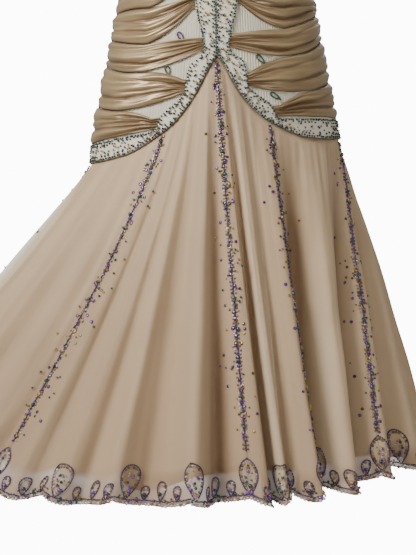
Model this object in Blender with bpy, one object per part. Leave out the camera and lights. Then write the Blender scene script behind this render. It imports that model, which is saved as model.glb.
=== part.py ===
"""Knee-length cocktail dress in silk chiffon and satin, worn on a general figure.

Metres, +Z up. The wearer faces -Y, so the wearer's left is +X. The origin is between the tops of the
two shoulder straps, where the shoulders carry the dress. One side of the chiffon skirt is drawn out
sideways, as when it is shown off by its hem.

Girth angles are in degrees round the body: 0 at the centre front, 90 at the wearer's left side, 180
at the centre back, and negative on the wearer's right. Cloth positions along the skirt's hem are in
scallops: 0 at the centre front seam, positive to the wearer's left.
"""

import math

import bpy
import numpy as np

# Driving dimensions
WALL = 0.0012            # wall of every cloth piece
SEAM = 0.0003            # gap between two pieces at a seam
YOKE_SEAM = 0.0010       # gap between the hip panels and the skirt, under the beaded trim
TILT = 0.10              # rise of the hip line across the body, towards the wearer's left
HIP_HALF_WIDTH = 0.168   # half width of the body along the hip line
TILT_FULL_Z = -0.470     # height below which the whole tilt applies
WAIST_SEAM_Z = -0.385    # where the plain bodice meets the hip panels
SIDE_SEAM = 80.0         # girth angle of the side seams
SEAM_RADIUS = 0.12       # body radius at which half a seam is turned into a girth angle
TRIM_LIFT = 0.0008       # clear space under the beaded trim
BAND_LIFT = 0.0013       # clear space under the edges of a satin band
BAND_PUFF = 0.0045       # how far the middle of a band stands above its edges
BAND_PLEAT = 0.0022      # depth of the soft pleats along a band
BAND_PLEATS = 3
SCALLOPS = 32            # scallops round the whole hem
SCALLOP_DROP = 0.009     # how far a scallop hangs below the notches beside it
UNDERSKIRT_LIFT = 0.0018 # how far the underskirt lies inside the hip line
STRAP_WIDTH = 0.010
STRAP_WALL = 0.0016
STRAP_SEAM = 0.0006      # clear space between a strap's end and the neckline below it
STRAP_GIRTHS = (33.0, 142.0)  # girth angles where a strap meets the front and the back neckline
STRAP_ROUTE = (          # the strap's way over the shoulder, from front to back
    (0.078, -0.098, -0.095), (0.081, -0.052, -0.020), (0.082, 0.0, STRAP_WALL),
    (0.081, 0.046, -0.024), (0.078, 0.076, -0.110),
)

# The figure, as the outer face of the close-fitting panels
BODY = {
    "height":     (-0.700, -0.640, -0.600, -0.545, -0.500, -0.440, -0.410, -0.385, -0.310, -0.240, -0.160),
    "half_width": (0.1710, 0.1690, 0.1640, 0.1525, 0.1435, 0.1320, 0.1250, 0.1225, 0.1260, 0.1370, 0.1350),
    "front":      (0.1130, 0.1140, 0.1140, 0.1110, 0.1060, 0.0980, 0.0940, 0.0920, 0.0960, 0.1020, 0.0960),
    "back":       (0.1300, 0.1300, 0.1280, 0.1200, 0.1080, 0.0900, 0.0820, 0.0790, 0.0820, 0.0880, 0.0880),
}
BUST = {"girth": 36.0, "height": -0.238, "girth_spread": 21.0, "height_spread": 0.042, "depth": 0.030}

# The hip line, where the skirt hangs from the hip panels, before the tilt
YOKE = {
    "girth":  (0.0, 3.8, 7.4, 12.8, 18.2, 27.5, 34.8, 43.5, 58.5, 80.0, 120.0, 150.0, 180.0),
    "height": (-0.525, -0.539, -0.559, -0.584, -0.602, -0.620, -0.630, -0.636, -0.638, -0.635,
               -0.632, -0.630, -0.629),
}

# The beaded trim, down beside the centre front and out along the hip line to the centre back
TRIM = {
    "low_girth":   (0.1, 0.1, 0.1, 0.1, 0.1, 0.1, 2.0, 3.8, 6.0, 9.0, 12.8, 18.2, 22.5, 27.5,
                    43.5, 58.5, 80.0, 120.0, 150.0, 179.9),
    "low_height":  (-0.235, -0.300, -0.385, -0.450, -0.490, -0.521, -0.532, -0.5385, -0.5505, -0.5665,
                    -0.5835, -0.6015, -0.6115, -0.6195, -0.6355, -0.6375, -0.6345, -0.6315, -0.6295, -0.6285),
    "high_girth":  (7.5, 9.0, 11.5, 11.5, 8.0, 6.2, 8.2, 12.5, 14.2, 14.6, 17.5, 25.0, 27.8, 31.5,
                    47.0, 60.0, 80.0, 120.0, 150.0, 179.9),
    "high_height": (-0.226, -0.300, -0.385, -0.450, -0.490, -0.514, -0.526, -0.534, -0.5480, -0.568,
                    -0.578, -0.594, -0.610, -0.6135, -0.613, -0.613, -0.611, -0.609, -0.607, -0.606),
}

# The five ruched satin bands of each side, from the hip up: where each is gathered at the trim, its
# middle height and half height there, and the girth angle from which it meets its neighbours
BANDS = {
    "name":        ("hip", "lower", "middle", "upper", "waist"),
    "end_girth":   (29.8, 15.6, 7.4, 13.2, 13.6),
    "end_height":  (-0.6020, -0.5600, -0.5080, -0.4530, -0.4060),
    "end_half":    (0.0070, 0.0090, 0.0085, 0.0080, 0.0090),
    "meets_girth": (52.0, 42.0, 38.0, 42.0, 44.0),
}
# The lines along which the bands meet, from below the hip band to above the waist band
BAND_LINES = {
    "girth":        (38.0, 50.0, 65.0, 85.0, 180.0),
    "below_hip":    (-0.6105, -0.6105, -0.6100, -0.6090, -0.6040),
    "hip_lower":    (-0.5790, -0.5770, -0.5690, -0.5585, -0.5560),
    "lower_middle": (-0.5320, -0.5270, -0.5160, -0.5030, -0.5060),
    "middle_upper": (-0.4960, -0.4890, -0.4790, -0.4680, -0.4620),
    "upper_waist":  (-0.4500, -0.4460, -0.4430, -0.4400, -0.4260),
    "above_waist":  (-0.3980, -0.3940, -0.3900, -0.3885, -0.3885),
}
BAND_SPREADS = 2.2       # above 1 a band opens quickly out of its gathers
BAND_GAP = 0.0010        # gap between two bands where they meet
BAND_SIDE = 85.0         # girth angle behind which the bands lie flatter
BAND_BACK = 180.0

NECKLINE = {
    "girth":  (0.0, 14.0, 33.0, 55.0, 80.0, 110.0, 142.0, 180.0),
    "height": (-0.232, -0.209, -0.180, -0.193, -0.214, -0.224, -0.226, -0.240),
}

# The skirt's seams: cloth position at the hem and girth angle at the hip line
SEAMS = {
    "cloth": (-16.0, -11.5, -7.0, -4.0, 0.0, 4.0, 7.0, 11.5, 16.0),
    "girth": (-180.0, -130.0, -80.0, -24.0, 0.0, 24.0, 80.0, 130.0, 180.0),
}
GORES = ("back_centre_right", "back_side_right", "front_side_right", "front_centre_right",
         "front_centre_left", "front_side_left", "back_side_left", "back_centre_left")

# One row for each fold of the skirt: where its ridge lies in the cloth and at the hem, how far the
# ridge stands out and the trough after it lies in, and how the skirt flares there (below 1 it
# swings out at the hip, above 1 towards the hem)
FOLDS = (
    # cloth     x       y       z     ridge  trough  flare
    (-15.0, -0.068, 0.225, -1.056, 0.016, 0.017, 0.85),
    (-14.0, -0.130, 0.180, -1.056, 0.016, 0.016, 0.85),
    (-13.0, -0.184, 0.128, -1.055, 0.016, 0.016, 0.90),
    (-12.0, -0.226, 0.070, -1.050, 0.015, 0.015, 0.90),
    (-11.0, -0.258, 0.012, -1.040, 0.015, 0.015, 0.95),
    (-10.0, -0.304, -0.038, -1.028, 0.014, 0.014, 1.00),
    (-9.0, -0.362, -0.070, -1.010, 0.010, 0.011, 1.05),
    (-7.75, -0.408, -0.092, -1.001, 0.007, 0.010, 1.05),
    (-6.85, -0.442, -0.118, -0.994, 0.006, 0.006, 1.05),
    (-6.15, -0.417, -0.148, -1.000, 0.008, 0.008, 1.05),
    (-5.4, -0.370, -0.176, -1.008, 0.009, 0.009, 1.10),
    (-4.6, -0.304, -0.207, -1.034, 0.009, 0.008, 1.15),
    (-3.6, -0.240, -0.233, -1.050, 0.008, 0.006, 1.20),
    (-2.75, -0.182, -0.247, -1.055, 0.006, 0.007, 1.20),
    (-2.1, -0.128, -0.254, -1.056, 0.010, 0.013, 1.15),
    (-1.0, -0.036, -0.262, -1.056, 0.018, 0.021, 1.10),
    (0.25, 0.045, -0.249, -1.055, 0.020, 0.017, 1.10),
    (1.6, 0.071, -0.243, -1.053, 0.019, 0.006, 1.05),
    (3.75, 0.102, -0.232, -1.052, 0.022, 0.038, 1.00),
    (5.5, 0.144, -0.210, -1.049, 0.021, 0.032, 0.92),
    (7.2, 0.190, -0.178, -1.040, 0.020, 0.026, 0.82),
    (8.5, 0.240, -0.130, -1.036, 0.018, 0.020, 0.74),
    (9.6, 0.2700, -0.075, -1.046, 0.016, 0.018, 0.70),
    (10.7, 0.2840, -0.013, -1.056, 0.016, 0.018, 0.70),
    (11.8, 0.2780, 0.048, -1.056, 0.016, 0.018, 0.70),
    (12.9, 0.250, 0.110, -1.056, 0.017, 0.020, 0.75),
    (14.0, 0.198, 0.170, -1.056, 0.018, 0.022, 0.80),
    (15.0, 0.112, 0.222, -1.056, 0.018, 0.022, 0.85),
    (16.0, 0.010, 0.240, -1.056, 0.018, 0.020, 0.85),
)
FOLD_NARROWS = 2.4       # above 2 the troughs are narrower than the ridges

# The underskirt's hem: radii, height, its own soft waves, and the place where it hangs lower
UNDER_HEM = {"half_width": 0.205, "front": 0.172, "back": 0.165, "height": -1.040}
UNDER_WAVE = 0.006
UNDER_WAVES = 14         # waves round the whole hem
UNDER_DIP = {"girth": -21.0, "spread": 9.0, "out": 0.030, "down": 0.020}

# Resolution of the walls
SCALLOP_STEPS = 5
SKIRT_ROWS = 8
FRONT_COLUMNS = 15
BACK_COLUMNS = 12
PANEL_SHARES = (0.0, 0.06, 0.14, 0.24, 0.38, 0.60, 1.0)
BODICE_ROWS = 7
BAND_COLUMNS = 16
BAND_ROWS = 6
TRIM_COLUMNS = 40
UNDER_COLUMNS = 20
UNDER_ROWS = 5
STRAP_STEPS = 18

# Colours, roughness and metallic value of the cloths
FINISHES = {
    "chiffon": ((0.46, 0.36, 0.26, 1.0), 0.75),
    "lining": ((0.58, 0.48, 0.37, 1.0), 0.70),
    "satin": ((0.42, 0.31, 0.19, 1.0), 0.38),
    "pleated_chiffon": ((0.62, 0.58, 0.47, 1.0), 0.80),
    "beaded_trim": ((0.60, 0.54, 0.42, 1.0), 0.55),
}


def smooth(knots, values, at):
    """A smooth curve through the knots, read at one or more places."""
    knots = np.asarray(knots, float)
    values = np.asarray(values, float)
    at = np.clip(np.asarray(at, float), knots[0], knots[-1])
    slopes = np.diff(values) / np.diff(knots)
    tangents = np.empty_like(values)
    tangents[0], tangents[-1] = slopes[0], slopes[-1]
    flat = slopes[:-1] * slopes[1:] <= 0
    spread = np.where(flat, 1.0, slopes[:-1] + slopes[1:])
    tangents[1:-1] = np.where(flat, 0.0, 2 * slopes[:-1] * slopes[1:] / spread)
    k = np.clip(np.searchsorted(knots, at, side="right") - 1, 0, len(knots) - 2)
    width = knots[k + 1] - knots[k]
    t = (at - knots[k]) / width
    return (
        values[k] * (1 + 2 * t) * (1 - t) ** 2
        + values[k + 1] * t * t * (3 - 2 * t)
        + tangents[k] * width * t * (1 - t) ** 2
        - tangents[k + 1] * width * t * t * (1 - t)
    )


def rounded(knots, values, at):
    """A curve through evenly rising knots that keeps its roundness at the turns."""
    knots = np.asarray(knots, float)
    values = np.asarray(values, float)
    at = np.asarray(at, float)
    tangents = np.gradient(values, knots)
    k = np.clip(np.searchsorted(knots, at, side="right") - 1, 0, len(knots) - 2)
    width = knots[k + 1] - knots[k]
    t = (at - knots[k]) / width
    return (
        values[k] * (1 + 2 * t) * (1 - t) ** 2
        + values[k + 1] * t * t * (3 - 2 * t)
        + tangents[k] * width * t * (1 - t) ** 2
        - tangents[k + 1] * width * t * t * (1 - t)
    )


def body(girth, height):
    """Points on the figure's close-fitting surface."""
    turn = np.radians(girth)
    heights = BODY["height"]
    half_width = smooth(heights, BODY["half_width"], height)
    front = smooth(heights, BODY["front"], height)
    back = smooth(heights, BODY["back"], height)
    depth = np.where(np.cos(turn) > 0, front, back)
    side = (np.abs(girth) - BUST["girth"]) / BUST["girth_spread"]
    rise = (height - BUST["height"]) / BUST["height_spread"]
    bust = BUST["depth"] * np.exp(-0.5 * side**2 - 0.5 * rise**2)
    x = half_width * np.sin(turn) + 0.25 * bust * np.sign(girth)
    y = -depth * np.cos(turn) - bust
    return np.stack(np.broadcast_arrays(x, y, height), axis=-1)


def on_body(girth, height, lift):
    """Points at a distance from the close-fitting surface, outwards where lift is positive."""
    step_girth, step_height = 0.5, 0.002
    along = body(girth + step_girth, height) - body(girth - step_girth, height)
    up = body(girth, height + step_height) - body(girth, height - step_height)
    normal = np.cross(along, up)
    normal /= np.linalg.norm(normal, axis=-1, keepdims=True)
    return body(girth, height) + normal * np.asarray(lift)[..., None]


def tilted(height, girth):
    """Heights on the tilted hip line. The tilt fades out above the waist."""
    fade = np.clip((WAIST_SEAM_Z - height) / (WAIST_SEAM_Z - TILT_FULL_Z), 0.0, 1.0)
    return height + TILT * HIP_HALF_WIDTH * np.sin(np.radians(girth)) * fade


def yoke_height(girth):
    """Height of the hip line at each girth angle."""
    return tilted(smooth(YOKE["girth"], YOKE["height"], np.abs(girth)), girth)


def panel_girths(start, end, columns, power):
    """Girth angles of a panel's columns, closer together towards its start."""
    return start + (end - start) * np.linspace(0, 1, columns + 1) ** power


def finish_of(name):
    """The material of one kind of cloth, made once."""
    material = bpy.data.materials.get(name)
    if material is None:
        colour, roughness = FINISHES[name]
        material = bpy.data.materials.new(name)
        material.use_nodes = True
        shader = material.node_tree.nodes["Principled BSDF"]
        shader.inputs["Base Color"].default_value = colour
        shader.inputs["Roughness"].default_value = roughness
        shader.inputs["Metallic"].default_value = 0.0
        material.diffuse_color = colour
    return material


def cloth(name, outer, inner, finish):
    """One closed wall of cloth between two grids of points, rows from the top down, columns to +X."""
    rows, columns = outer.shape[0], outer.shape[1]
    points = np.concatenate([outer.reshape(-1, 3), inner.reshape(-1, 3)])
    inside = rows * columns

    def at(row, column, side=0):
        return side * inside + row * columns + column

    faces = []
    for r in range(rows - 1):
        for c in range(columns - 1):
            square = (at(r, c), at(r + 1, c), at(r + 1, c + 1), at(r, c + 1))
            faces.append(square)
            faces.append(tuple(inside + corner for corner in reversed(square)))
    for c in range(columns - 1):
        faces.append((at(0, c), at(0, c + 1), at(0, c + 1, 1), at(0, c, 1)))
        last = rows - 1
        faces.append((at(last, c + 1), at(last, c), at(last, c, 1), at(last, c + 1, 1)))
    for r in range(rows - 1):
        faces.append((at(r + 1, 0), at(r, 0), at(r, 0, 1), at(r + 1, 0, 1)))
        end = columns - 1
        faces.append((at(r, end), at(r + 1, end), at(r + 1, end, 1), at(r, end, 1)))
    mesh = bpy.data.meshes.new(name)
    mesh.from_pydata(points.tolist(), [], faces)
    mesh.materials.append(finish_of(finish))
    mesh.shade_smooth()
    mesh.set_sharp_from_angle(angle=math.radians(60))
    made = bpy.data.objects.new(name, mesh)
    bpy.context.scene.collection.objects.link(made)
    return made


def body_panel(name, girths, tops, bottoms, shares, finish):
    """A close-fitting panel between two edges, its outer face on the figure's surface."""
    shares = np.asarray(shares)[:, None]
    heights = tops * (1 - shares) + bottoms * shares
    girths = np.broadcast_to(girths, heights.shape)
    outer = on_body(girths, heights, np.zeros_like(heights))
    inner = on_body(girths, heights, np.full_like(heights, -WALL))
    return cloth(name, outer, inner, finish)


def side_name(side):
    """The wearer's side that a sign stands for."""
    return "left" if side > 0 else "right"


def in_order(girths, side):
    """Girth angles of one side, always running towards +X at the front."""
    return girths if side > 0 else -girths[::-1]


def half_seam():
    """Half a seam as a girth angle."""
    return math.degrees(SEAM / 2 / SEAM_RADIUS)


def hip_panels_and_bodice():
    """The pleated hip panels up to the waist seam, and the plain bodice above them."""
    margin = half_seam()
    front = panel_girths(margin, SIDE_SEAM - margin, FRONT_COLUMNS, 1.35)
    back = panel_girths(SIDE_SEAM + margin, 180.0 - margin, BACK_COLUMNS, 1.0)
    for side in (1, -1):
        for where, half in (("front", front), ("back", back)):
            girths = in_order(half, side)
            waist = np.full_like(girths, WAIST_SEAM_Z)
            neck = smooth(NECKLINE["girth"], NECKLINE["height"], np.abs(girths))
            body_panel(f"hip_panel_{where}_{side_name(side)}", girths, waist - SEAM / 2,
                       yoke_height(girths) + YOKE_SEAM / 2, PANEL_SHARES, "pleated_chiffon")
            body_panel(f"bodice_{where}_{side_name(side)}", girths, neck, waist + SEAM / 2,
                       np.linspace(0, 1, BODICE_ROWS + 1), "satin")


def trim(side):
    """The beaded trim of one side, lying on the panels."""
    stations = np.arange(len(TRIM["low_girth"]), dtype=float)
    fine = np.linspace(0, stations[-1], 400)
    edges = {key: smooth(stations, TRIM[key], fine) for key in TRIM}
    middle = on_body((edges["low_girth"] + edges["high_girth"]) / 2,
                     (edges["low_height"] + edges["high_height"]) / 2, np.zeros_like(fine))
    lengths = np.concatenate([[0], np.cumsum(np.linalg.norm(np.diff(middle, axis=0), axis=1))])
    even = np.interp(np.linspace(0, lengths[-1], TRIM_COLUMNS + 1), lengths, fine)
    low_girth, low_height, high_girth, high_height = (
        smooth(stations, TRIM[key], even) for key in ("low_girth", "low_height", "high_girth", "high_height")
    )
    across = np.array([0.0, 0.5, 1.0])[:, None]
    girths = side * (high_girth * (1 - across) + low_girth * across)
    heights = tilted(high_height * (1 - across) + low_height * across, girths)
    outer = on_body(girths, heights, np.full_like(heights, TRIM_LIFT + WALL))
    inner = on_body(girths, heights, np.full_like(heights, TRIM_LIFT))
    if side < 0:
        outer, inner = outer[:, ::-1], inner[:, ::-1]
    return cloth(f"beaded_trim_{side_name(side)}", outer, inner, "beaded_trim")


def band_edge(row, girths, upper):
    """Heights of one band's upper or lower edge at these girth angles, before the tilt."""
    start, sign = BANDS["end_girth"][row], 1 if upper else -1
    lines = [key for key in BAND_LINES if key != "girth"]
    line = smooth(BAND_LINES["girth"], BAND_LINES[lines[row + upper]], girths) - sign * BAND_GAP / 2
    share = np.clip((girths - start) / (BANDS["meets_girth"][row] - start), 0, 1)
    opened = 1 - (1 - share) ** BAND_SPREADS
    gathered = BANDS["end_height"][row] + sign * BANDS["end_half"][row]
    return gathered * (1 - opened) + line * opened


def band(row, side):
    """One ruched satin band from its gathers at the trim round to the centre back."""
    start = BANDS["end_girth"][row]
    girths = panel_girths(start, BAND_BACK - half_seam(), BAND_COLUMNS, 1.25)
    top, bottom = band_edge(row, girths, True), band_edge(row, girths, False)
    across = np.linspace(1, -1, BAND_ROWS + 1)[:, None]
    heights = tilted((top + bottom) / 2 + across * (top - bottom) / 2, side * girths)
    settled = 1 - 0.5 * np.clip((girths - BAND_SIDE) / (BAND_BACK - BAND_SIDE), 0, 1)
    share = np.clip((girths - start) / (BANDS["meets_girth"][row] - start), 0, 1)
    dome = BAND_PUFF * (1 - across**4) * settled * (0.4 + 0.6 * share)
    pleat = BAND_PLEAT * (0.5 - 0.5 * np.cos(2 * np.pi * BAND_PLEATS * (across + 1) / 2)) * settled
    lift = BAND_LIFT + dome + pleat
    girth_grid = np.broadcast_to(side * girths, heights.shape)
    outer = on_body(girth_grid, heights, lift + WALL)
    inner = on_body(girth_grid, heights, lift)
    if side < 0:
        outer, inner = outer[:, ::-1], inner[:, ::-1]
    return cloth(f"satin_band_{BANDS['name'][row]}_{side_name(side)}", outer, inner, "satin")


def hem_values(column, cloth_at):
    """One column of the fold table, read smoothly all round the hem."""
    rows = np.array(FOLDS)
    ring = np.concatenate([rows[:, 0] - SCALLOPS, rows[:, 0], rows[:, 0] + SCALLOPS])
    return rounded(ring, np.tile(rows[:, column], 3), cloth_at)


def fold_depth(cloth_at):
    """How far the cloth lies outside the mean hem line at each cloth position."""
    rows = np.array(FOLDS)
    ring = np.concatenate([rows[:, 0] - SCALLOPS, rows[:, 0], rows[:, 0] + SCALLOPS])
    ridges, troughs = np.tile(rows[:, 4], 3), np.tile(rows[:, 5], 3)
    k = np.clip(np.searchsorted(ring, cloth_at, side="right") - 1, 0, len(ring) - 2)
    t = (cloth_at - ring[k]) / (ring[k + 1] - ring[k])
    ridge = ridges[k] * (1 - t) + ridges[k + 1] * t
    return ridge - (ridge + troughs[k]) * np.sin(np.pi * t) ** FOLD_NARROWS


def skirt(cloth_at, down):
    """Points on the chiffon skirt: cloth position round the hem, and 0 at the hip line to 1 at the hem."""
    girth = smooth(SEAMS["cloth"], SEAMS["girth"], cloth_at)
    top_height = yoke_height(girth) - YOKE_SEAM / 2
    top = on_body(girth, top_height, np.full_like(girth, -0.0001))

    def mean(at):
        near = on_body(smooth(SEAMS["cloth"], SEAMS["girth"], at), top_height, np.full_like(girth, -0.0001))
        swing = down ** hem_values(6, at)
        x = near[..., 0] * (1 - swing) + hem_values(1, at) * swing
        y = near[..., 1] * (1 - swing) + hem_values(2, at) * swing
        return x, y

    x, y = mean(cloth_at)
    ahead, behind = mean(np.minimum(cloth_at + 0.2, 16.0)), mean(np.maximum(cloth_at - 0.2, -16.0))
    across = np.hypot(ahead[0] - behind[0], ahead[1] - behind[1])
    out_x, out_y = (ahead[1] - behind[1]) / across, -(ahead[0] - behind[0]) / across
    fold = fold_depth(cloth_at) * down**1.1
    scallop = SCALLOP_DROP * np.abs(np.sin(np.pi * cloth_at)) ** 0.8
    z = top[..., 2] * (1 - down) + (hem_values(3, cloth_at) - scallop) * down
    return np.stack([x + out_x * fold, y + out_y * fold, z], axis=-1)


def gore(index):
    """One flared gore of the skirt, between two seams."""
    start, end = SEAMS["cloth"][index], SEAMS["cloth"][index + 1]
    columns = int(round((end - start) * SCALLOP_STEPS))
    down = np.linspace(0, 1, SKIRT_ROWS + 1)[:, None] * np.ones(columns + 1)
    across = np.ones((SKIRT_ROWS + 1, 1)) * np.linspace(start, end, columns + 1)
    step = 0.01
    speed = np.linalg.norm(skirt(np.clip(across + step, -16, 16), down)
                           - skirt(np.clip(across - step, -16, 16), down), axis=-1) / (2 * step)
    across[:, 0] += SEAM / 2 / speed[:, 0]
    across[:, -1] -= SEAM / 2 / speed[:, -1]
    outer = skirt(across, down)
    nudge_across, nudge_down = 0.04, 0.01
    along = skirt(np.minimum(across + nudge_across, 16), down) - skirt(np.maximum(across - nudge_across, -16), down)
    up = skirt(across, np.clip(down - nudge_down, 0, 1)) - skirt(across, np.clip(down + nudge_down, 0, 1))
    inward = -np.cross(along, up)
    inward /= np.linalg.norm(inward, axis=-1, keepdims=True)
    return cloth(f"skirt_{GORES[index]}", outer, outer + inward * WALL, "chiffon")


def underskirt(name, start, end):
    """One half of the underskirt that shows through the chiffon."""
    margin = half_seam()
    girths = (np.linspace(start + margin, end - margin, UNDER_COLUMNS + 1) + 180.0) % 360.0 - 180.0
    turn = np.radians(girths)
    dip = np.exp(-0.5 * ((girths - UNDER_DIP["girth"]) / UNDER_DIP["spread"]) ** 2)
    spread = 1 + (UNDER_WAVE * np.cos(turn * UNDER_WAVES) + UNDER_DIP["out"] * dip) / UNDER_HEM["front"]
    depth = np.where(np.cos(turn) > 0, UNDER_HEM["front"], UNDER_HEM["back"])
    hem = np.stack([UNDER_HEM["half_width"] * np.sin(turn) * spread, -depth * np.cos(turn) * spread,
                    UNDER_HEM["height"] - UNDER_DIP["down"] * dip], axis=-1)
    down = np.linspace(0, 1, UNDER_ROWS + 1)[:, None, None]
    walls = []
    for lift in (0.0, -WALL):
        top = on_body(girths, yoke_height(girths) - YOKE_SEAM, np.full_like(girths, lift - UNDERSKIRT_LIFT))
        inset = hem.copy()
        inset[:, :2] *= 1 + lift / np.linalg.norm(hem[:, :2], axis=1, keepdims=True)
        walls.append(top * (1 - down) + inset * down)
    return cloth(name, walls[0], walls[1], "lining")


def strap(side):
    """One plain shoulder strap from the front neckline over the shoulder to the back neckline."""
    girths = np.array(STRAP_GIRTHS)
    neck = smooth(NECKLINE["girth"], NECKLINE["height"], girths)
    ends = on_body(girths, neck + STRAP_SEAM, np.full(2, (STRAP_WALL - WALL) / 2))
    route = np.array([ends[0], *STRAP_ROUTE, ends[1]])
    stations = np.arange(len(route), dtype=float)
    at = np.linspace(0, stations[-1], STRAP_STEPS + 1)
    line = np.stack([rounded(stations, route[:, axis], at) for axis in range(3)], axis=-1)
    heading = np.gradient(line, axis=0)
    heading /= np.linalg.norm(heading, axis=-1, keepdims=True)
    outward = np.cross((1.0, 0.0, 0.0), heading)
    outward /= np.linalg.norm(outward, axis=-1, keepdims=True)
    wide = np.cross(heading, outward) * STRAP_WIDTH / 2
    outer = np.stack([line - wide, line + wide])
    inner = outer - outward * STRAP_WALL
    if side < 0:
        outer[..., 0] *= -1
        inner[..., 0] *= -1
        outer, inner = outer[:, ::-1], inner[:, ::-1]
    return cloth(f"shoulder_strap_{side_name(side)}", outer, inner, "satin")


def main():
    for obj in list(bpy.data.objects):
        bpy.data.objects.remove(obj)
    hip_panels_and_bodice()
    for side in (1, -1):
        trim(side)
        strap(side)
        for row in range(len(BANDS["name"])):
            band(row, side)
    for index in range(len(GORES)):
        gore(index)
    underskirt("underskirt_front", -SIDE_SEAM, SIDE_SEAM)
    underskirt("underskirt_back", SIDE_SEAM, 360.0 - SIDE_SEAM)


main()
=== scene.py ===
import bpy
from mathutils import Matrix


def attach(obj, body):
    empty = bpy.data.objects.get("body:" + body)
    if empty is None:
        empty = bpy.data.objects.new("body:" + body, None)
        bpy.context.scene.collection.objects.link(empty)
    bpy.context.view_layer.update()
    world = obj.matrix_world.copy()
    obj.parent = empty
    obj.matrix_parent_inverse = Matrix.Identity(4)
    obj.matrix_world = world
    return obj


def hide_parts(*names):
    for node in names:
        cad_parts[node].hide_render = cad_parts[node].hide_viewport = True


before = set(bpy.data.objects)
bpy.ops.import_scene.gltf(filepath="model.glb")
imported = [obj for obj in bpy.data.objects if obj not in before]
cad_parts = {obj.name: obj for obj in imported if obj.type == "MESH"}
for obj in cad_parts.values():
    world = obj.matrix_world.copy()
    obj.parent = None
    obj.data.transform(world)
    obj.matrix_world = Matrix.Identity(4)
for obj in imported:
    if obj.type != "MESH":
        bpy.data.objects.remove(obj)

"""Looks of a knee-length cocktail dress: sheer chiffon gores, ruched satin bands and glass beadwork.

Metres, +Z up, the wearer facing -Y. Girth angles are in degrees round the body, 0 at the centre front
and positive to the wearer's left. Cloth positions round the hem are in scallops, 0 at the centre front
seam. Both are the same as in the solids that the pieces stand for.
"""

import logging
import math
from dataclasses import dataclass, field
from enum import Enum
from typing import Callable

import bmesh
import bpy
import numpy as np
from mathutils import Matrix, Vector

LOG = logging.getLogger("dress")
Array = np.ndarray
Surface = Callable[[Array, Array], Array]
Colour = tuple[float, float, float]


class Side(Enum):
    """The wearer's two sides, valued by the sign of X."""

    LEFT = 1
    RIGHT = -1

    @property
    def word(self) -> str:
        """The side's word in piece and node names."""
        return self.name.lower()

    def span(self, low: float, high: float) -> tuple[float, float]:
        """The girth angles of this side's panel, from its first edge to its last."""
        return (low, high) if self is Side.LEFT else (-high, -low)


class Weave(Enum):
    """Kinds of cloth surface."""

    CREPE = "crepe"
    SATIN = "satin"
    PLAIN = "plain"


# Shader maths

class Value:
    """A shader socket that takes part in Python expressions."""

    def __init__(self, graph: "Graph", socket: bpy.types.NodeSocket) -> None:
        """Keep the graph and the output socket."""
        self.graph = graph
        self.socket = socket

    def _math(self, operation: str, first: "Value | float", second: "Value | float" = 0.0) -> "Value":
        """One Math node.

        Args:
            operation: the Math node's operation.
            first: its first value.
            second: its second value.

        Returns:
            The node's result.
        """
        return self.graph.node("ShaderNodeMath", {"operation": operation}, {0: first, 1: second})

    def __add__(self, other: "Value | float") -> "Value":
        """Sum."""
        return self._math("ADD", self, other)

    def __sub__(self, other: "Value | float") -> "Value":
        """Difference."""
        return self._math("SUBTRACT", self, other)

    def __rsub__(self, other: float) -> "Value":
        """Difference from a number."""
        return self._math("SUBTRACT", other, self)

    def __mul__(self, other: "Value | float") -> "Value":
        """Product."""
        return self._math("MULTIPLY", self, other)

    __radd__ = __add__
    __rmul__ = __mul__

    def sine(self) -> "Value":
        """Sine of the value."""
        return self._math("SINE", self)

    def clamped(self) -> "Value":
        """The value kept between 0 and 1."""
        return self.graph.node("ShaderNodeClamp", {}, {"Value": self})


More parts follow.
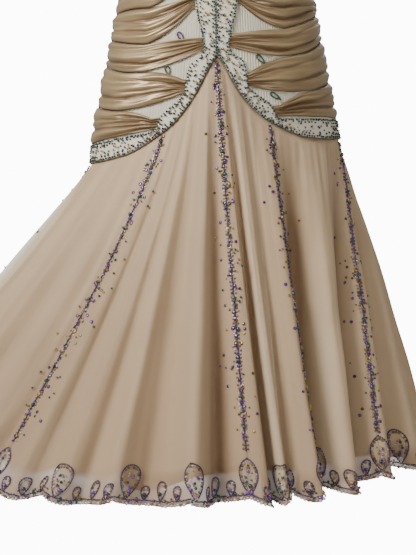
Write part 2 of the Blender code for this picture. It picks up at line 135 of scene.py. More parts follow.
class Graph:
    """The nodes of one material."""

    def __init__(self, name: str) -> None:
        """Make the material and find its shader."""
        self.material = bpy.data.materials.new(name)
        self.material.use_nodes = True
        self.tree = self.material.node_tree
        self.shader = self.tree.nodes["Principled BSDF"]

    def node(self, kind: str, settings: dict, inputs: dict, output: int | str = 0) -> Value:
        """Add one node.

        Args:
            kind: the node's type.
            settings: properties set before the sockets, such as an operation.
            inputs: socket names or numbers, with values or links.
            output: which output is wanted.

        Returns:
            The wanted output.
        """
        made = self.tree.nodes.new(kind)
        for key, value in settings.items():
            setattr(made, key, value)
        for key, value in inputs.items():
            if isinstance(value, Value):
                self.tree.links.new(value.socket, made.inputs[key])
            else:
                made.inputs[key].default_value = value
        return Value(self, made.outputs[output])

    def mix(self, share: Value | float, first: Value | Colour, second: Value | Colour) -> Value:
        """A colour between two colours.

        Args:
            share: how much of the second colour.
            first: the colour at 0.
            second: the colour at 1.

        Returns:
            The mixed colour.
        """
        ends = [(*end, 1.0) if isinstance(end, tuple) else end for end in (first, second)]
        return self.node("ShaderNodeMix", {"data_type": "RGBA"}, {0: share, 6: ends[0], 7: ends[1]}, 2)

    def noise(self, where: Value, scale: float, detail: float = 2.0) -> Value:
        """Soft noise.

        Args:
            where: the coordinates.
            scale: its scale, in waves a metre.
            detail: how many finer layers it has.

        Returns:
            The noise, about 0.5.
        """
        return self.node("ShaderNodeTexNoise", {}, {"Vector": where, "Scale": scale, "Detail": detail})

    def part(self, vector: Value, axis: int) -> Value:
        """One part of a vector."""
        return self.node("ShaderNodeSeparateXYZ", {}, {"Vector": vector}, axis)

    def cloth_place(self) -> Value:
        """Coordinates on the cloth in metres, from the piece's own map."""
        return self.node("ShaderNodeUVMap", {"uv_map": "cloth"}, {})

    def object_place(self) -> Value:
        """Coordinates in the object, in metres."""
        return self.node("ShaderNodeTexCoord", {}, {}, "Object")

    def feed(self, socket: str, value: Value | float | Colour) -> None:
        """Set or link one of the shader's own sockets.

        Args:
            socket: the socket's name.
            value: what goes there.
        """
        target = self.shader.inputs[socket]
        if isinstance(value, Value):
            self.tree.links.new(value.socket, target)
        elif isinstance(value, tuple):
            target.default_value = (*value, 1.0)
        else:
            target.default_value = value

    def raise_by(self, height: Value, distance: float) -> None:
        """Let a height from 0 to 1, of this real size in metres, feed the shader's normal."""
        self.feed("Normal", self.node("ShaderNodeBump", {}, {"Height": height, "Distance": distance}))


# Finishes

# Painted light colour, and the shares of the deep colour that make the painted shade colour
PAINTED_LIGHT: Colour = (0.90, 0.84, 0.72)
SHADOW_SHARES: Colour = (0.42, 0.34, 0.27)


@dataclass(frozen=True)
class ClothFinish:
    """A woven cloth: its colours, its weave at real size, and how it takes the light."""

    name: str
    colour: Colour
    deep: Colour
    weave: Weave
    roughness: float
    opacity: float = 1.0
    thinnest: float = 1.0
    doubled: float = 1.0
    doubled_to: float = 0.935
    # fade: painted shade that grows towards the cloth's lower edge, as a share of the shade colour
    fade: float = 0.0
    sheen: float = 0.0
    thread: float = 0.0006
    relief: float = 0.00006

    def material(self) -> bpy.types.Material:
        """The cloth's material, made once."""
        made = bpy.data.materials.get(self.name)
        if made is not None:
            return made
        graph = Graph(self.name)
        cloth = graph.cloth_place()
        body = graph.object_place()
        patches = graph.noise(body, 26.0, 3.0)
        height = self._threads(graph, cloth)
        tone = (patches * 0.7 + height * 0.5 - 0.1).clamped()
        # Painted shade and painted light: each point's painted shading value darkens the colour towards the
        # shade colour where above 0 and lightens it towards the painted light colour where below 0; fade adds
        # painted shade towards the lower edge
        painted_shading = graph.node("ShaderNodeAttribute", {"attribute_name": "painted_shading"}, {}, "Fac")
        down = graph.node("ShaderNodeAttribute", {"attribute_name": "down"}, {}, "Fac")
        lit = graph.mix(tone, self.deep, self.colour)
        shadow = tuple(part * share for part, share in zip(self.deep, SHADOW_SHARES))
        shaded = graph.mix((painted_shading + down * self.fade).clamped(), lit, shadow)
        graph.feed("Base Color", graph.mix((painted_shading * -1.0).clamped(), shaded, PAINTED_LIGHT))
        graph.feed("Roughness", patches * 0.16 + (self.roughness - 0.08))
        graph.feed("Sheen Weight", self.sheen)
        graph.feed("Sheen Roughness", 0.45)
        if self.weave is Weave.SATIN:
            graph.feed("Anisotropic", 0.45)
            graph.feed("Metallic", 0.32)
            graph.feed("Specular IOR Level", 0.6)
        if self.opacity < 1.0:
            doubled = ((self.doubled_to - down + patches * 0.02) * 45.0).clamped()
            thin = ((graph.noise(body, 9.0, 1.0) - 0.47) * 9.0).clamped()
            yarns = graph.noise(cloth, 900.0, 1.0) * 0.08
            single = yarns + thin * (self.thinnest - self.opacity) + self.opacity
            graph.feed("Alpha", (single + doubled * (self.doubled - single)).clamped())
        graph.raise_by(height, self.relief)
        return graph.material

    def _threads(self, graph: Graph, cloth: Value) -> Value:
        """The height of the threads.

        Args:
            graph: the material's nodes.
            cloth: coordinates on the cloth.

        Returns:
            The height, from 0 to 1.
        """
        turns = 2 * math.pi / self.thread
        warp = (graph.part(cloth, 0) * turns).sine() * 0.5 + 0.5
        weft = (graph.part(cloth, 1) * turns).sine() * 0.5 + 0.5
        if self.weave is Weave.SATIN:
            return warp * 0.25 + weft * 0.1 + graph.noise(cloth, 420.0, 2.0) * 0.65
        if self.weave is Weave.CREPE:
            grain = graph.noise(cloth, 700.0, 3.0)
            return warp * weft * 0.35 + grain * 0.65
        return warp * weft * 0.7 + graph.noise(cloth, 300.0, 2.0) * 0.3


@dataclass(frozen=True)
class BeadFinish:
    """Glass beads and sequins, each with its own colour and metal share."""

    name: str = "glass_and_sequins"
    roughness: float = 0.16

    def material(self) -> bpy.types.Material:
        """The beads' material, made once."""
        made = bpy.data.materials.get(self.name)
        if made is not None:
            return made
        graph = Graph(self.name)
        tint = graph.node("ShaderNodeAttribute", {"attribute_name": "tint"}, {}, "Color")
        metal = graph.node("ShaderNodeAttribute", {"attribute_name": "metal"}, {}, "Fac")
        place = graph.object_place()
        streak = graph.noise(place, 900.0, 2.0)
        graph.feed("Base Color", graph.mix(streak * 0.5, tint, (0.02, 0.02, 0.025)))
        graph.feed("Metallic", metal)
        graph.feed("Roughness", streak * 0.2 + self.roughness)
        graph.feed("Coat Weight", 0.6)
        graph.raise_by(streak, 0.00005)
        return graph.material


# The chiffon carries painted shade that grows towards its hem (fade)
CHIFFON = ClothFinish("sheer_crepe_chiffon", (0.60, 0.435, 0.265), (0.50, 0.345, 0.20), Weave.CREPE, 0.72,
                      opacity=0.74, thinnest=0.46, doubled=0.95, fade=0.33, sheen=0.15, thread=0.0007,
                      relief=0.00012)
LINING = ClothFinish("soft_lining", (0.60, 0.445, 0.28), (0.52, 0.37, 0.22), Weave.PLAIN, 0.7)
SATIN = ClothFinish("silk_satin", (0.47, 0.345, 0.185), (0.33, 0.215, 0.098), Weave.SATIN, 0.33, sheen=0.10,
                    thread=0.0005, relief=0.00004)
BODICE_SATIN = ClothFinish("bodice_satin", (0.45, 0.33, 0.175), (0.36, 0.24, 0.11), Weave.SATIN, 0.46,
                           sheen=0.2, thread=0.0005, relief=0.00005)
PLEATED = ClothFinish("crinkle_pleated_chiffon", (0.74, 0.68, 0.53), (0.58, 0.53, 0.40), Weave.CREPE, 0.75,
                      thread=0.0007, relief=0.0001)
TRIM = ClothFinish("beaded_trim_ground", (0.82, 0.77, 0.62), (0.70, 0.64, 0.48), Weave.PLAIN, 0.55)
PIPING = ClothFinish("piping_cord", (0.24, 0.17, 0.085), (0.17, 0.115, 0.055), Weave.PLAIN, 0.5)
BEADS = BeadFinish()


# Smooth curves

def hermite(knots: Array, values: Array, tangents: Array, at: Array) -> Array:
    """A cubic curve through knots with given slopes.

    Args:
        knots: rising places of the knots.
        values: the curve's values there.
        tangents: its slopes there.
        at: where it is read.

    Returns:
        The values at those places.
    """
    k = np.clip(np.searchsorted(knots, at, side="right") - 1, 0, len(knots) - 2)
    width = knots[k + 1] - knots[k]
    t = (at - knots[k]) / width
    return (values[k] * (1 + 2 * t) * (1 - t) ** 2 + values[k + 1] * t * t * (3 - 2 * t)
            + tangents[k] * width * t * (1 - t) ** 2 - tangents[k + 1] * width * t * t * (1 - t))


def smooth(knots: Array, values: Array, at: Array) -> Array:
    """A curve through knots that never overshoots them.

    Args:
        knots: rising places of the knots.
        values: the curve's values there.
        at: where it is read.

    Returns:
        The values at those places.
    """
    knots, values = np.asarray(knots, float), np.asarray(values, float)
    at = np.clip(np.asarray(at, float), knots[0], knots[-1])
    slopes = np.diff(values) / np.diff(knots)
    tangents = np.empty_like(values)
    tangents[0], tangents[-1] = slopes[0], slopes[-1]
    flat = slopes[:-1] * slopes[1:] <= 0
    spread = np.where(flat, 1.0, slopes[:-1] + slopes[1:])
    tangents[1:-1] = np.where(flat, 0.0, 2 * slopes[:-1] * slopes[1:] / spread)
    return hermite(knots, values, tangents, at)


def rounded(knots: Array, values: Array, at: Array) -> Array:
    """A curve through knots that keeps its roundness at the turns.

    Args:
        knots: rising places of the knots.
        values: the curve's values there.
        at: where it is read.

    Returns:
        The values at those places.
    """
    knots, values = np.asarray(knots, float), np.asarray(values, float)
    return hermite(knots, values, np.gradient(values, knots), np.asarray(at, float))


def waver(at: Array, pitch: float, seed: int) -> Array:
    """Slow irregular waves between about -1 and 1.

    Args:
        at: where they are read.
        pitch: the length of the middle wave.
        seed: which waves.

    Returns:
        The waves' heights.
    """
    draw = np.random.default_rng(seed)
    total = np.zeros_like(np.asarray(at, float))
    for stretch in (0.62, 1.0, 1.71):
        total += np.sin(2 * np.pi * (at / (pitch * stretch) + draw.random())) * 0.45
    return total


# Mesh helpers

def unit(vectors: Array) -> Array:
    """The vectors at length 1."""
    return vectors / np.maximum(np.linalg.norm(vectors, axis=-1, keepdims=True), 1e-12)


def distances(path: Array) -> Array:
    """How far along a path each of its points lies."""
    return np.concatenate([[0], np.cumsum(np.linalg.norm(np.diff(path, axis=0), axis=1))])


def add_object(name: str, data: bpy.types.ID | None) -> bpy.types.Object:
    """A new object, linked to the scene.

    Args:
        name: its name.
        data: its mesh, lamp or camera.

    Returns:
        The object.
    """
    made = bpy.data.objects.new(name, data)
    bpy.context.scene.collection.objects.link(made)
    return made


def surface_normals(surface: Surface, u: Array, v: Array, step_u: float, step_v: float) -> Array:
    """Outward unit normals of a surface whose v falls towards the hem.

    Args:
        surface: the surface.
        u: places across it.
        v: places down it.
        step_u: the step used across.
        step_v: the step used down.

    Returns:
        One normal for each place.
    """
    along = surface(u + step_u, v) - surface(u - step_u, v)
    up = surface(u, v - step_v) - surface(u, v + step_v)
    return unit(np.cross(along, up))


@dataclass
class Sheet:
    """A cloth piece that a surface shapes, from a grid of squares."""

    name: str
    surface: Surface
    columns: int
    rows: int
    finish: ClothFinish
    wall: float = 0.0005
    fullness: float = 1.0
    # painted shade at each place, below 0 painted light, kept on the points for the cloth's colour
    painted_shading: Surface | None = None
    u_ends: tuple[float, float] = (0.0, 1.0)
    v_ends: tuple[float, float] = (0.0, 1.0)

    def make(self) -> bpy.types.Object:
        """The piece, with its map in metres and a thin wall.

        Returns:
            The piece's object.
        """
        cut = bmesh.new()
        layer = cut.loops.layers.uv.new("cloth")
        bmesh.ops.create_grid(cut, x_segments=self.columns, y_segments=self.rows, size=0.5)
        mesh = bpy.data.meshes.new(self.name)
        across, down = self._places(cut)
        points = self.surface(across, down)
        self.flat = self._flat_size(across, down)
        # Each point keeps how far down it lies and its painted shade, which below 0 is painted light
        level, shade = cut.verts.layers.float.new("down"), cut.verts.layers.float.new("painted_shading")
        painted_shadings = self.painted_shading(across, down) if self.painted_shading else np.zeros_like(down)
        span = self.v_ends[1] - self.v_ends[0]
        for vert, point, v, painted_shading in zip(cut.verts, points, down, painted_shadings):
            vert.co = point
            vert[level] = (v - self.v_ends[0]) / span
            vert[shade] = painted_shading
        width, length = self.flat
        low_u, low_v = self.u_ends[0], self.v_ends[0]
        scale_u = width / (self.u_ends[1] - low_u)
        scale_v = length / span
        maps = [((u - low_u) * scale_u, (low_v - v) * scale_v) for u, v in zip(across, down)]
        for face in cut.faces:
            face.smooth = True
            for loop in face.loops:
                loop[layer].uv = maps[loop.vert.index]
        cut.to_mesh(mesh)
        cut.free()
        piece = add_object(self.name, mesh)
        mesh.materials.append(self.finish.material())
        solid = piece.modifiers.new("wall", "SOLIDIFY")
        solid.thickness = self.wall
        solid.offset = -1.0
        solid.use_even_offset = False
        return piece

    def _places(self, cut: bmesh.types.BMesh) -> tuple[Array, Array]:
        """Where each grid vertex lies on the surface.

        Args:
            cut: the grid, 1 wide and 1 high about the origin.

        Returns:
            Places across and down.
        """
        cut.verts.index_update()
        flat = np.array([vert.co[:2] for vert in cut.verts])
        low, high = flat.min(axis=0), flat.max(axis=0)
        share = (flat - low) / (high - low)
        u = self.u_ends[0] + share[:, 0] * (self.u_ends[1] - self.u_ends[0])
        v = self.v_ends[1] + share[:, 1] * (self.v_ends[0] - self.v_ends[1])
        return u, v

    def _flat_size(self, across: Array, down: Array) -> tuple[float, float]:
        """The cut's width and length, from the surface's longest run each way.

        Args:
            across: places across; not used.
            down: places down; not used.

        Returns:
            Width and length in metres, with the fullness that is gathered in.
        """
        steps = 60
        u = np.linspace(*self.u_ends, steps)
        v = np.linspace(*self.v_ends, steps)
        grid = self.surface(*(part.ravel() for part in np.meshgrid(u, v))).reshape(steps, steps, 3)
        width = np.linalg.norm(np.diff(grid, axis=1), axis=-1).sum(axis=1).max()
        length = np.linalg.norm(np.diff(grid, axis=0), axis=-1).sum(axis=0).max()
        wide, tall = np.diff(grid, axis=1)[:-1], np.diff(grid, axis=0)[:, :-1]
        squares = np.linalg.norm(np.cross(wide, tall), axis=-1)
        self.area = min(float(squares.sum()), 0.99 * width * length) * self.fullness
        return float(width) * self.fullness, float(length)

    def declare(self, piece: bpy.types.Object, node: str) -> None:
        """Hang the piece on the root, hide the solid that it stands for and log its cut.

        Args:
            piece: the made piece.
            node: the solid that it stands for.
        """
        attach(piece, "root")
        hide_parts(node)
        LOG.info("%s: cut %.3f x %.3f m", piece.name, *self.flat)


# Beadwork

class Bead(Enum):
    """Kinds of small thing that are sewn on."""

    SEED = "seed"
    RING = "ring"
    SEQUIN = "sequin"
    DOME = "dome"
    STITCH = "stitch"


def bead_shape(kind: Bead) -> tuple[Array, Array]:
    """One bead of unit width, lying on the cloth with its outer side to +Z.

    Args:
        kind: which bead.

    Returns:
        Its points and its triangles.
    """
    cut = bmesh.new()
    if kind is Bead.RING:
        made = bmesh.ops.create_circle(cut, segments=3, radius=0.17)
        upright = Matrix.Rotation(math.pi / 2, 3, "X")
        bmesh.ops.rotate(cut, verts=made["verts"], cent=(0, 0, 0), matrix=upright)
        bmesh.ops.translate(cut, verts=made["verts"], vec=(0.34, 0, 0))
        bmesh.ops.spin(cut, geom=list(cut.verts) + list(cut.edges), cent=(0, 0, 0), axis=(0, 0, 1),
                       angle=2 * math.pi, steps=7, use_merge=True)
    elif kind is Bead.SEQUIN:
        bmesh.ops.create_cone(cut, segments=9, radius1=0.5, radius2=0.24, depth=0.1, cap_ends=True)
    elif kind is Bead.DOME:
        bmesh.ops.create_uvsphere(cut, u_segments=7, v_segments=4, radius=0.5)
        bmesh.ops.scale(cut, verts=cut.verts, vec=(1.0, 1.0, 0.7))
    else:
        bmesh.ops.create_icosphere(cut, subdivisions=1, radius=0.5)
        flat = (1.0, 0.60, 0.45) if kind is Bead.STITCH else (1.0, 1.0, 0.85)
        bmesh.ops.scale(cut, verts=cut.verts, vec=flat)
    bmesh.ops.remove_doubles(cut, verts=cut.verts, dist=0.001)
    bmesh.ops.triangulate(cut, faces=cut.faces)
    bmesh.ops.recalc_face_normals(cut, faces=cut.faces)
    cut.verts.index_update()
    points = np.array([vert.co[:] for vert in cut.verts])
    triangles = np.array([[vert.index for vert in face.verts] for face in cut.faces])
    cut.free()
    return points, triangles


# How metallic each kind is, and how high its middle stands, as a share of its width
BEAD_METAL = {Bead.SEED: 0.15, Bead.RING: 0.3, Bead.SEQUIN: 0.75, Bead.DOME: 0.2, Bead.STITCH: 0.0}
BEAD_SEAT = {Bead.SEED: 0.36, Bead.RING: 0.12, Bead.SEQUIN: 0.12, Bead.DOME: 0.36, Bead.STITCH: 0.18}


@dataclass
class BeadWork:
    """Beads and stitches that are sewn to one piece, joined in one mesh."""

    name: str
    rows: list = field(default_factory=list)

    def sew(self, kind: Bead, places: Array, normals: Array, along: Array, width: float | Array,
            colours: Array | Colour) -> None:
        """Add beads of one kind.

        Args:
            kind: which bead.
            places: where each touches the cloth.
            normals: the cloth's outward normals there.
            along: the way each bead's length runs.
            width: the beads' width in metres.
            colours: one colour, or one for each bead.
        """
        count = len(places)
        if count:
            tints = np.broadcast_to(np.asarray(colours, float), (count, 3))
            widths = np.broadcast_to(np.asarray(width, float), (count,))
            self.rows.append((kind, places, normals, along, widths, tints))

    def make(self, carrier: bpy.types.Object) -> bpy.types.Object:
        """All the beads as one mesh that goes with its carrier.

        Args:
            carrier: the cloth piece that the beads are sewn to.

        Returns:
            The beads' object.
        """
        points, triangles, tints, metals, start = [], [], [], [], 0
        for kind, places, normals, along, widths, colours in self.rows:
            shape, faces = bead_shape(kind)
            out = unit(normals)
            side = unit(np.cross(out, along))
            ahead = np.cross(side, out)
            axes = np.stack([ahead, side, out], axis=1)
            placed = np.einsum("vk,nkc->nvc", shape, axes) * widths[:, None, None]
            placed += (places + out * (widths * BEAD_SEAT[kind])[:, None])[:, None, :]
            count = len(places)
            points.append(placed.reshape(-1, 3))
            offsets = start + np.arange(count)[:, None, None] * len(shape)
            triangles.append((faces[None] + offsets).reshape(-1, 3))
            tints.append(np.repeat(colours, len(shape), axis=0))
            metals.append(np.full(count * len(shape), BEAD_METAL[kind]))
            start += count * len(shape)
        mesh = bpy.data.meshes.new(self.name)
        mesh.from_pydata(np.concatenate(points).tolist(), [], np.concatenate(triangles).tolist())
        tint = mesh.color_attributes.new("tint", "FLOAT_COLOR", "POINT")
        shades = np.concatenate(tints)
        tint.data.foreach_set("color", np.concatenate([shades, np.ones((len(shades), 1))], axis=1).ravel())
        metal = mesh.attributes.new("metal", "FLOAT", "POINT")
        metal.data.foreach_set("value", np.concatenate(metals))
        mesh.shade_smooth()
        mesh.materials.append(BEADS.material())
        piece = add_object(self.name, mesh)
        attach(piece, "root")
        count = sum(len(row[1]) for row in self.rows)
        LOG.info("%s: %d beads and stitches on %s", self.name, count, carrier.name)
        return piece


# Bead colours
PLUM = (0.085, 0.018, 0.13)
PURPLE = (0.16, 0.035, 0.26)
TEAL = (0.012, 0.085, 0.075)
GREEN = (0.015, 0.065, 0.03)
DEEP = (0.012, 0.022, 0.05)
OLIVE = (0.20, 0.15, 0.025)
GOLD = (0.55, 0.36, 0.08)
CLEAR = (0.72, 0.66, 0.58)
ROSE = (0.55, 0.34, 0.32)
PINK = (0.62, 0.42, 0.38)
THREAD = (0.075, 0.03, 0.045)
PLUM_THREAD = (0.07, 0.025, 0.085)
VIOLET = (0.24, 0.06, 0.42)
BRONZE = (0.22, 0.11, 0.04)


def pick(draw: np.random.Generator, colours: tuple[Colour, ...], count: int) -> Array:
    """Colours drawn for a number of beads.

    Args:
        draw: the random draw.
        colours: what they are drawn from.
        count: how many.

    Returns:
        One colour for each bead.
    """
    return np.array(colours)[draw.integers(0, len(colours), count)]


# The figure that the dress is shaped on

@dataclass(frozen=True)
class Figure:
    """The outer face of the close-fitting panels, by girth angle and height."""

    heights: tuple = (-0.700, -0.640, -0.600, -0.545, -0.500, -0.440, -0.410, -0.385, -0.310, -0.240, -0.160)
    half_widths: tuple = (0.1710, 0.1690, 0.1640, 0.1525, 0.1435, 0.1320, 0.1250, 0.1225, 0.1260, 0.1370,
                          0.1350)
    fronts: tuple = (0.1130, 0.1140, 0.1140, 0.1110, 0.1060, 0.0980, 0.0940, 0.0920, 0.0960, 0.1020, 0.0960)
    backs: tuple = (0.1300, 0.1300, 0.1280, 0.1200, 0.1080, 0.0900, 0.0820, 0.0790, 0.0820, 0.0880, 0.0880)
    bust_girth: float = 36.0
    bust_height: float = -0.238
    bust_girth_spread: float = 21.0
    bust_height_spread: float = 0.042
    bust_depth: float = 0.030
    tilt: float = 0.10
    tilt_full_at: float = -0.470
    waist_seam: float = -0.385
    hip_half_width: float = 0.168

    def at(self, girth: Array, height: Array) -> Array:
        """Points on the figure.

        Args:
            girth: girth angles in degrees.
            height: heights in metres.

        Returns:
            The points.
        """
        turn = np.radians(girth)
        half_width = smooth(self.heights, self.half_widths, height)
        front, back = smooth(self.heights, self.fronts, height), smooth(self.heights, self.backs, height)
        depth = np.where(np.cos(turn) > 0, front, back)
        side = (np.abs(girth) - self.bust_girth) / self.bust_girth_spread
        rise = (height - self.bust_height) / self.bust_height_spread
        bust = self.bust_depth * np.exp(-0.5 * side**2 - 0.5 * rise**2)
        x = half_width * np.sin(turn) + 0.25 * bust * np.sign(girth)
        y = -depth * np.cos(turn) - bust
        return np.stack(np.broadcast_arrays(x, y, height), axis=-1)

    def out(self, girth: Array, height: Array) -> Array:
        """Outward unit normals of the figure.

        Args:
            girth: girth angles in degrees.
            height: heights in metres.

        Returns:
            The normals.
        """
        along = self.at(girth + 0.5, height) - self.at(girth - 0.5, height)
        up = self.at(girth, height + 0.002) - self.at(girth, height - 0.002)
        return unit(np.cross(along, up))

    def lifted(self, girth: Array, height: Array, lift: Array | float) -> Array:
        """Points at a distance outside the figure.

        Args:
            girth: girth angles in degrees.
            height: heights in metres.
            lift: the distance.

        Returns:
            The points.
        """
        lift = np.broadcast_to(np.asarray(lift, float), np.shape(girth))
        return self.at(girth, height) + self.out(girth, height) * lift[..., None]

    def tilted(self, height: Array, girth: Array) -> Array:
        """Heights on the tilted hip line, a tilt that fades out above the waist.

        Args:
            height: heights before the tilt.
            girth: girth angles in degrees.

        Returns:
            The tilted heights.
        """
        fade = np.clip((self.waist_seam - height) / (self.waist_seam - self.tilt_full_at), 0.0, 1.0)
        return height + self.tilt * self.hip_half_width * np.sin(np.radians(girth)) * fade

    def hip_line(self, girth: Array) -> Array:
        """Height of the hip line, where the skirt hangs.

        Args:
            girth: girth angles in degrees.

        Returns:
            The heights.
        """
        line = smooth((0.0, 3.8, 7.4, 12.8, 18.2, 27.5, 34.8, 43.5, 58.5, 80.0, 120.0, 150.0, 180.0),
                      (-0.525, -0.539, -0.559, -0.584, -0.602, -0.620, -0.630, -0.636, -0.638, -0.635,
                       -0.632, -0.630, -0.629), np.abs(girth))
        return self.tilted(line, girth)

    def neckline(self, girth: Array) -> Array:
        """Height of the neckline.

        Args:
            girth: girth angles in degrees.

        Returns:
            The heights.
        """
        return smooth((0.0, 14.0, 33.0, 55.0, 80.0, 110.0, 142.0, 180.0),
                      (-0.232, -0.209, -0.180, -0.193, -0.214, -0.224, -0.226, -0.240), np.abs(girth))


FIGURE = Figure()
SIDE_SEAM = 80.0
SEAM_HALF = 0.07
BACK_END = 179.93
PANEL_SPANS = (("front", SEAM_HALF, SIDE_SEAM - SEAM_HALF), ("back", SIDE_SEAM + SEAM_HALF, BACK_END))
SCALLOPS = 32
HALF_ROUND = 16.0
SEWN_LIFT = 0.0003


def one_round(cloth: Array) -> Array:
    """Cloth positions brought into one round of the hem, from centre back to centre back."""
    return (cloth + HALF_ROUND) % SCALLOPS - HALF_ROUND


# The skirt

# One row for each fold: where its ridge lies in the cloth and at the hem, how far the ridge stands out
# and the trough after it lies in, how the skirt flares there, and how far the ridge leans to the left
FOLDS = np.array((
    # cloth     x       y       z     ridge  trough  flare  lean
    (-15.0, -0.068, 0.225, -1.056, 0.016, 0.017, 0.85, 0.003),
    (-14.0, -0.130, 0.180, -1.056, 0.016, 0.016, 0.85, -0.003),
    (-13.0, -0.184, 0.128, -1.055, 0.016, 0.016, 0.90, 0.003),
    (-12.0, -0.226, 0.070, -1.050, 0.015, 0.015, 0.90, -0.002),
    (-11.0, -0.258, 0.012, -1.040, 0.015, 0.015, 0.95, 0.002),
    (-10.0, -0.304, -0.038, -1.028, 0.014, 0.014, 1.00, 0.002),
    (-9.0, -0.362, -0.070, -1.010, 0.010, 0.011, 1.05, 0.000),
    (-7.75, -0.408, -0.092, -1.001, 0.007, 0.010, 1.05, 0.000),
    (-6.85, -0.442, -0.118, -0.994, 0.006, 0.006, 1.05, 0.000),
    (-6.15, -0.417, -0.148, -1.000, 0.008, 0.008, 1.05, 0.000),
    (-5.4, -0.370, -0.176, -1.008, 0.009, 0.009, 1.10, 0.002),
    (-4.6, -0.304, -0.207, -1.034, 0.009, 0.008, 1.15, 0.003),
    (-3.6, -0.240, -0.233, -1.050, 0.008, 0.006, 1.20, 0.002),
    (-2.75, -0.182, -0.247, -1.055, 0.006, 0.007, 1.20, 0.002),
    (-2.1, -0.128, -0.254, -1.056, 0.010, 0.013, 1.15, 0.003),
    (-1.0, -0.036, -0.262, -1.056, 0.018, 0.021, 1.10, 0.004),
    (0.25, 0.045, -0.249, -1.055, 0.020, 0.017, 1.10, 0.009),
    (1.6, 0.071, -0.243, -1.053, 0.019, 0.006, 1.05, 0.002),
    (3.75, 0.102, -0.232, -1.052, 0.022, 0.038, 1.00, 0.010),
    (5.5, 0.144, -0.210, -1.049, 0.021, 0.032, 0.92, 0.009),
    (7.2, 0.190, -0.178, -1.040, 0.020, 0.026, 0.82, 0.007),
    (8.5, 0.240, -0.130, -1.036, 0.018, 0.020, 0.74, 0.005),
    (9.6, 0.2700, -0.075, -1.046, 0.016, 0.018, 0.70, 0.003),
    (10.7, 0.2840, -0.013, -1.056, 0.016, 0.018, 0.70, -0.002),
    (11.8, 0.2780, 0.048, -1.056, 0.016, 0.018, 0.70, 0.003),
    (12.9, 0.250, 0.110, -1.056, 0.017, 0.020, 0.75, -0.003),
    (14.0, 0.198, 0.170, -1.056, 0.018, 0.022, 0.80, 0.003),
    (15.0, 0.112, 0.222, -1.056, 0.018, 0.022, 0.85, -0.002),
    (16.0, 0.010, 0.240, -1.056, 0.018, 0.020, 0.85, 0.002),
))


class Fold(Enum):
    """The fold table's columns."""

    CLOTH = 0
    X = 1
    Y = 2
    Z = 3
    RIDGE = 4
    TROUGH = 5
    FLARE = 6
    LEAN = 7


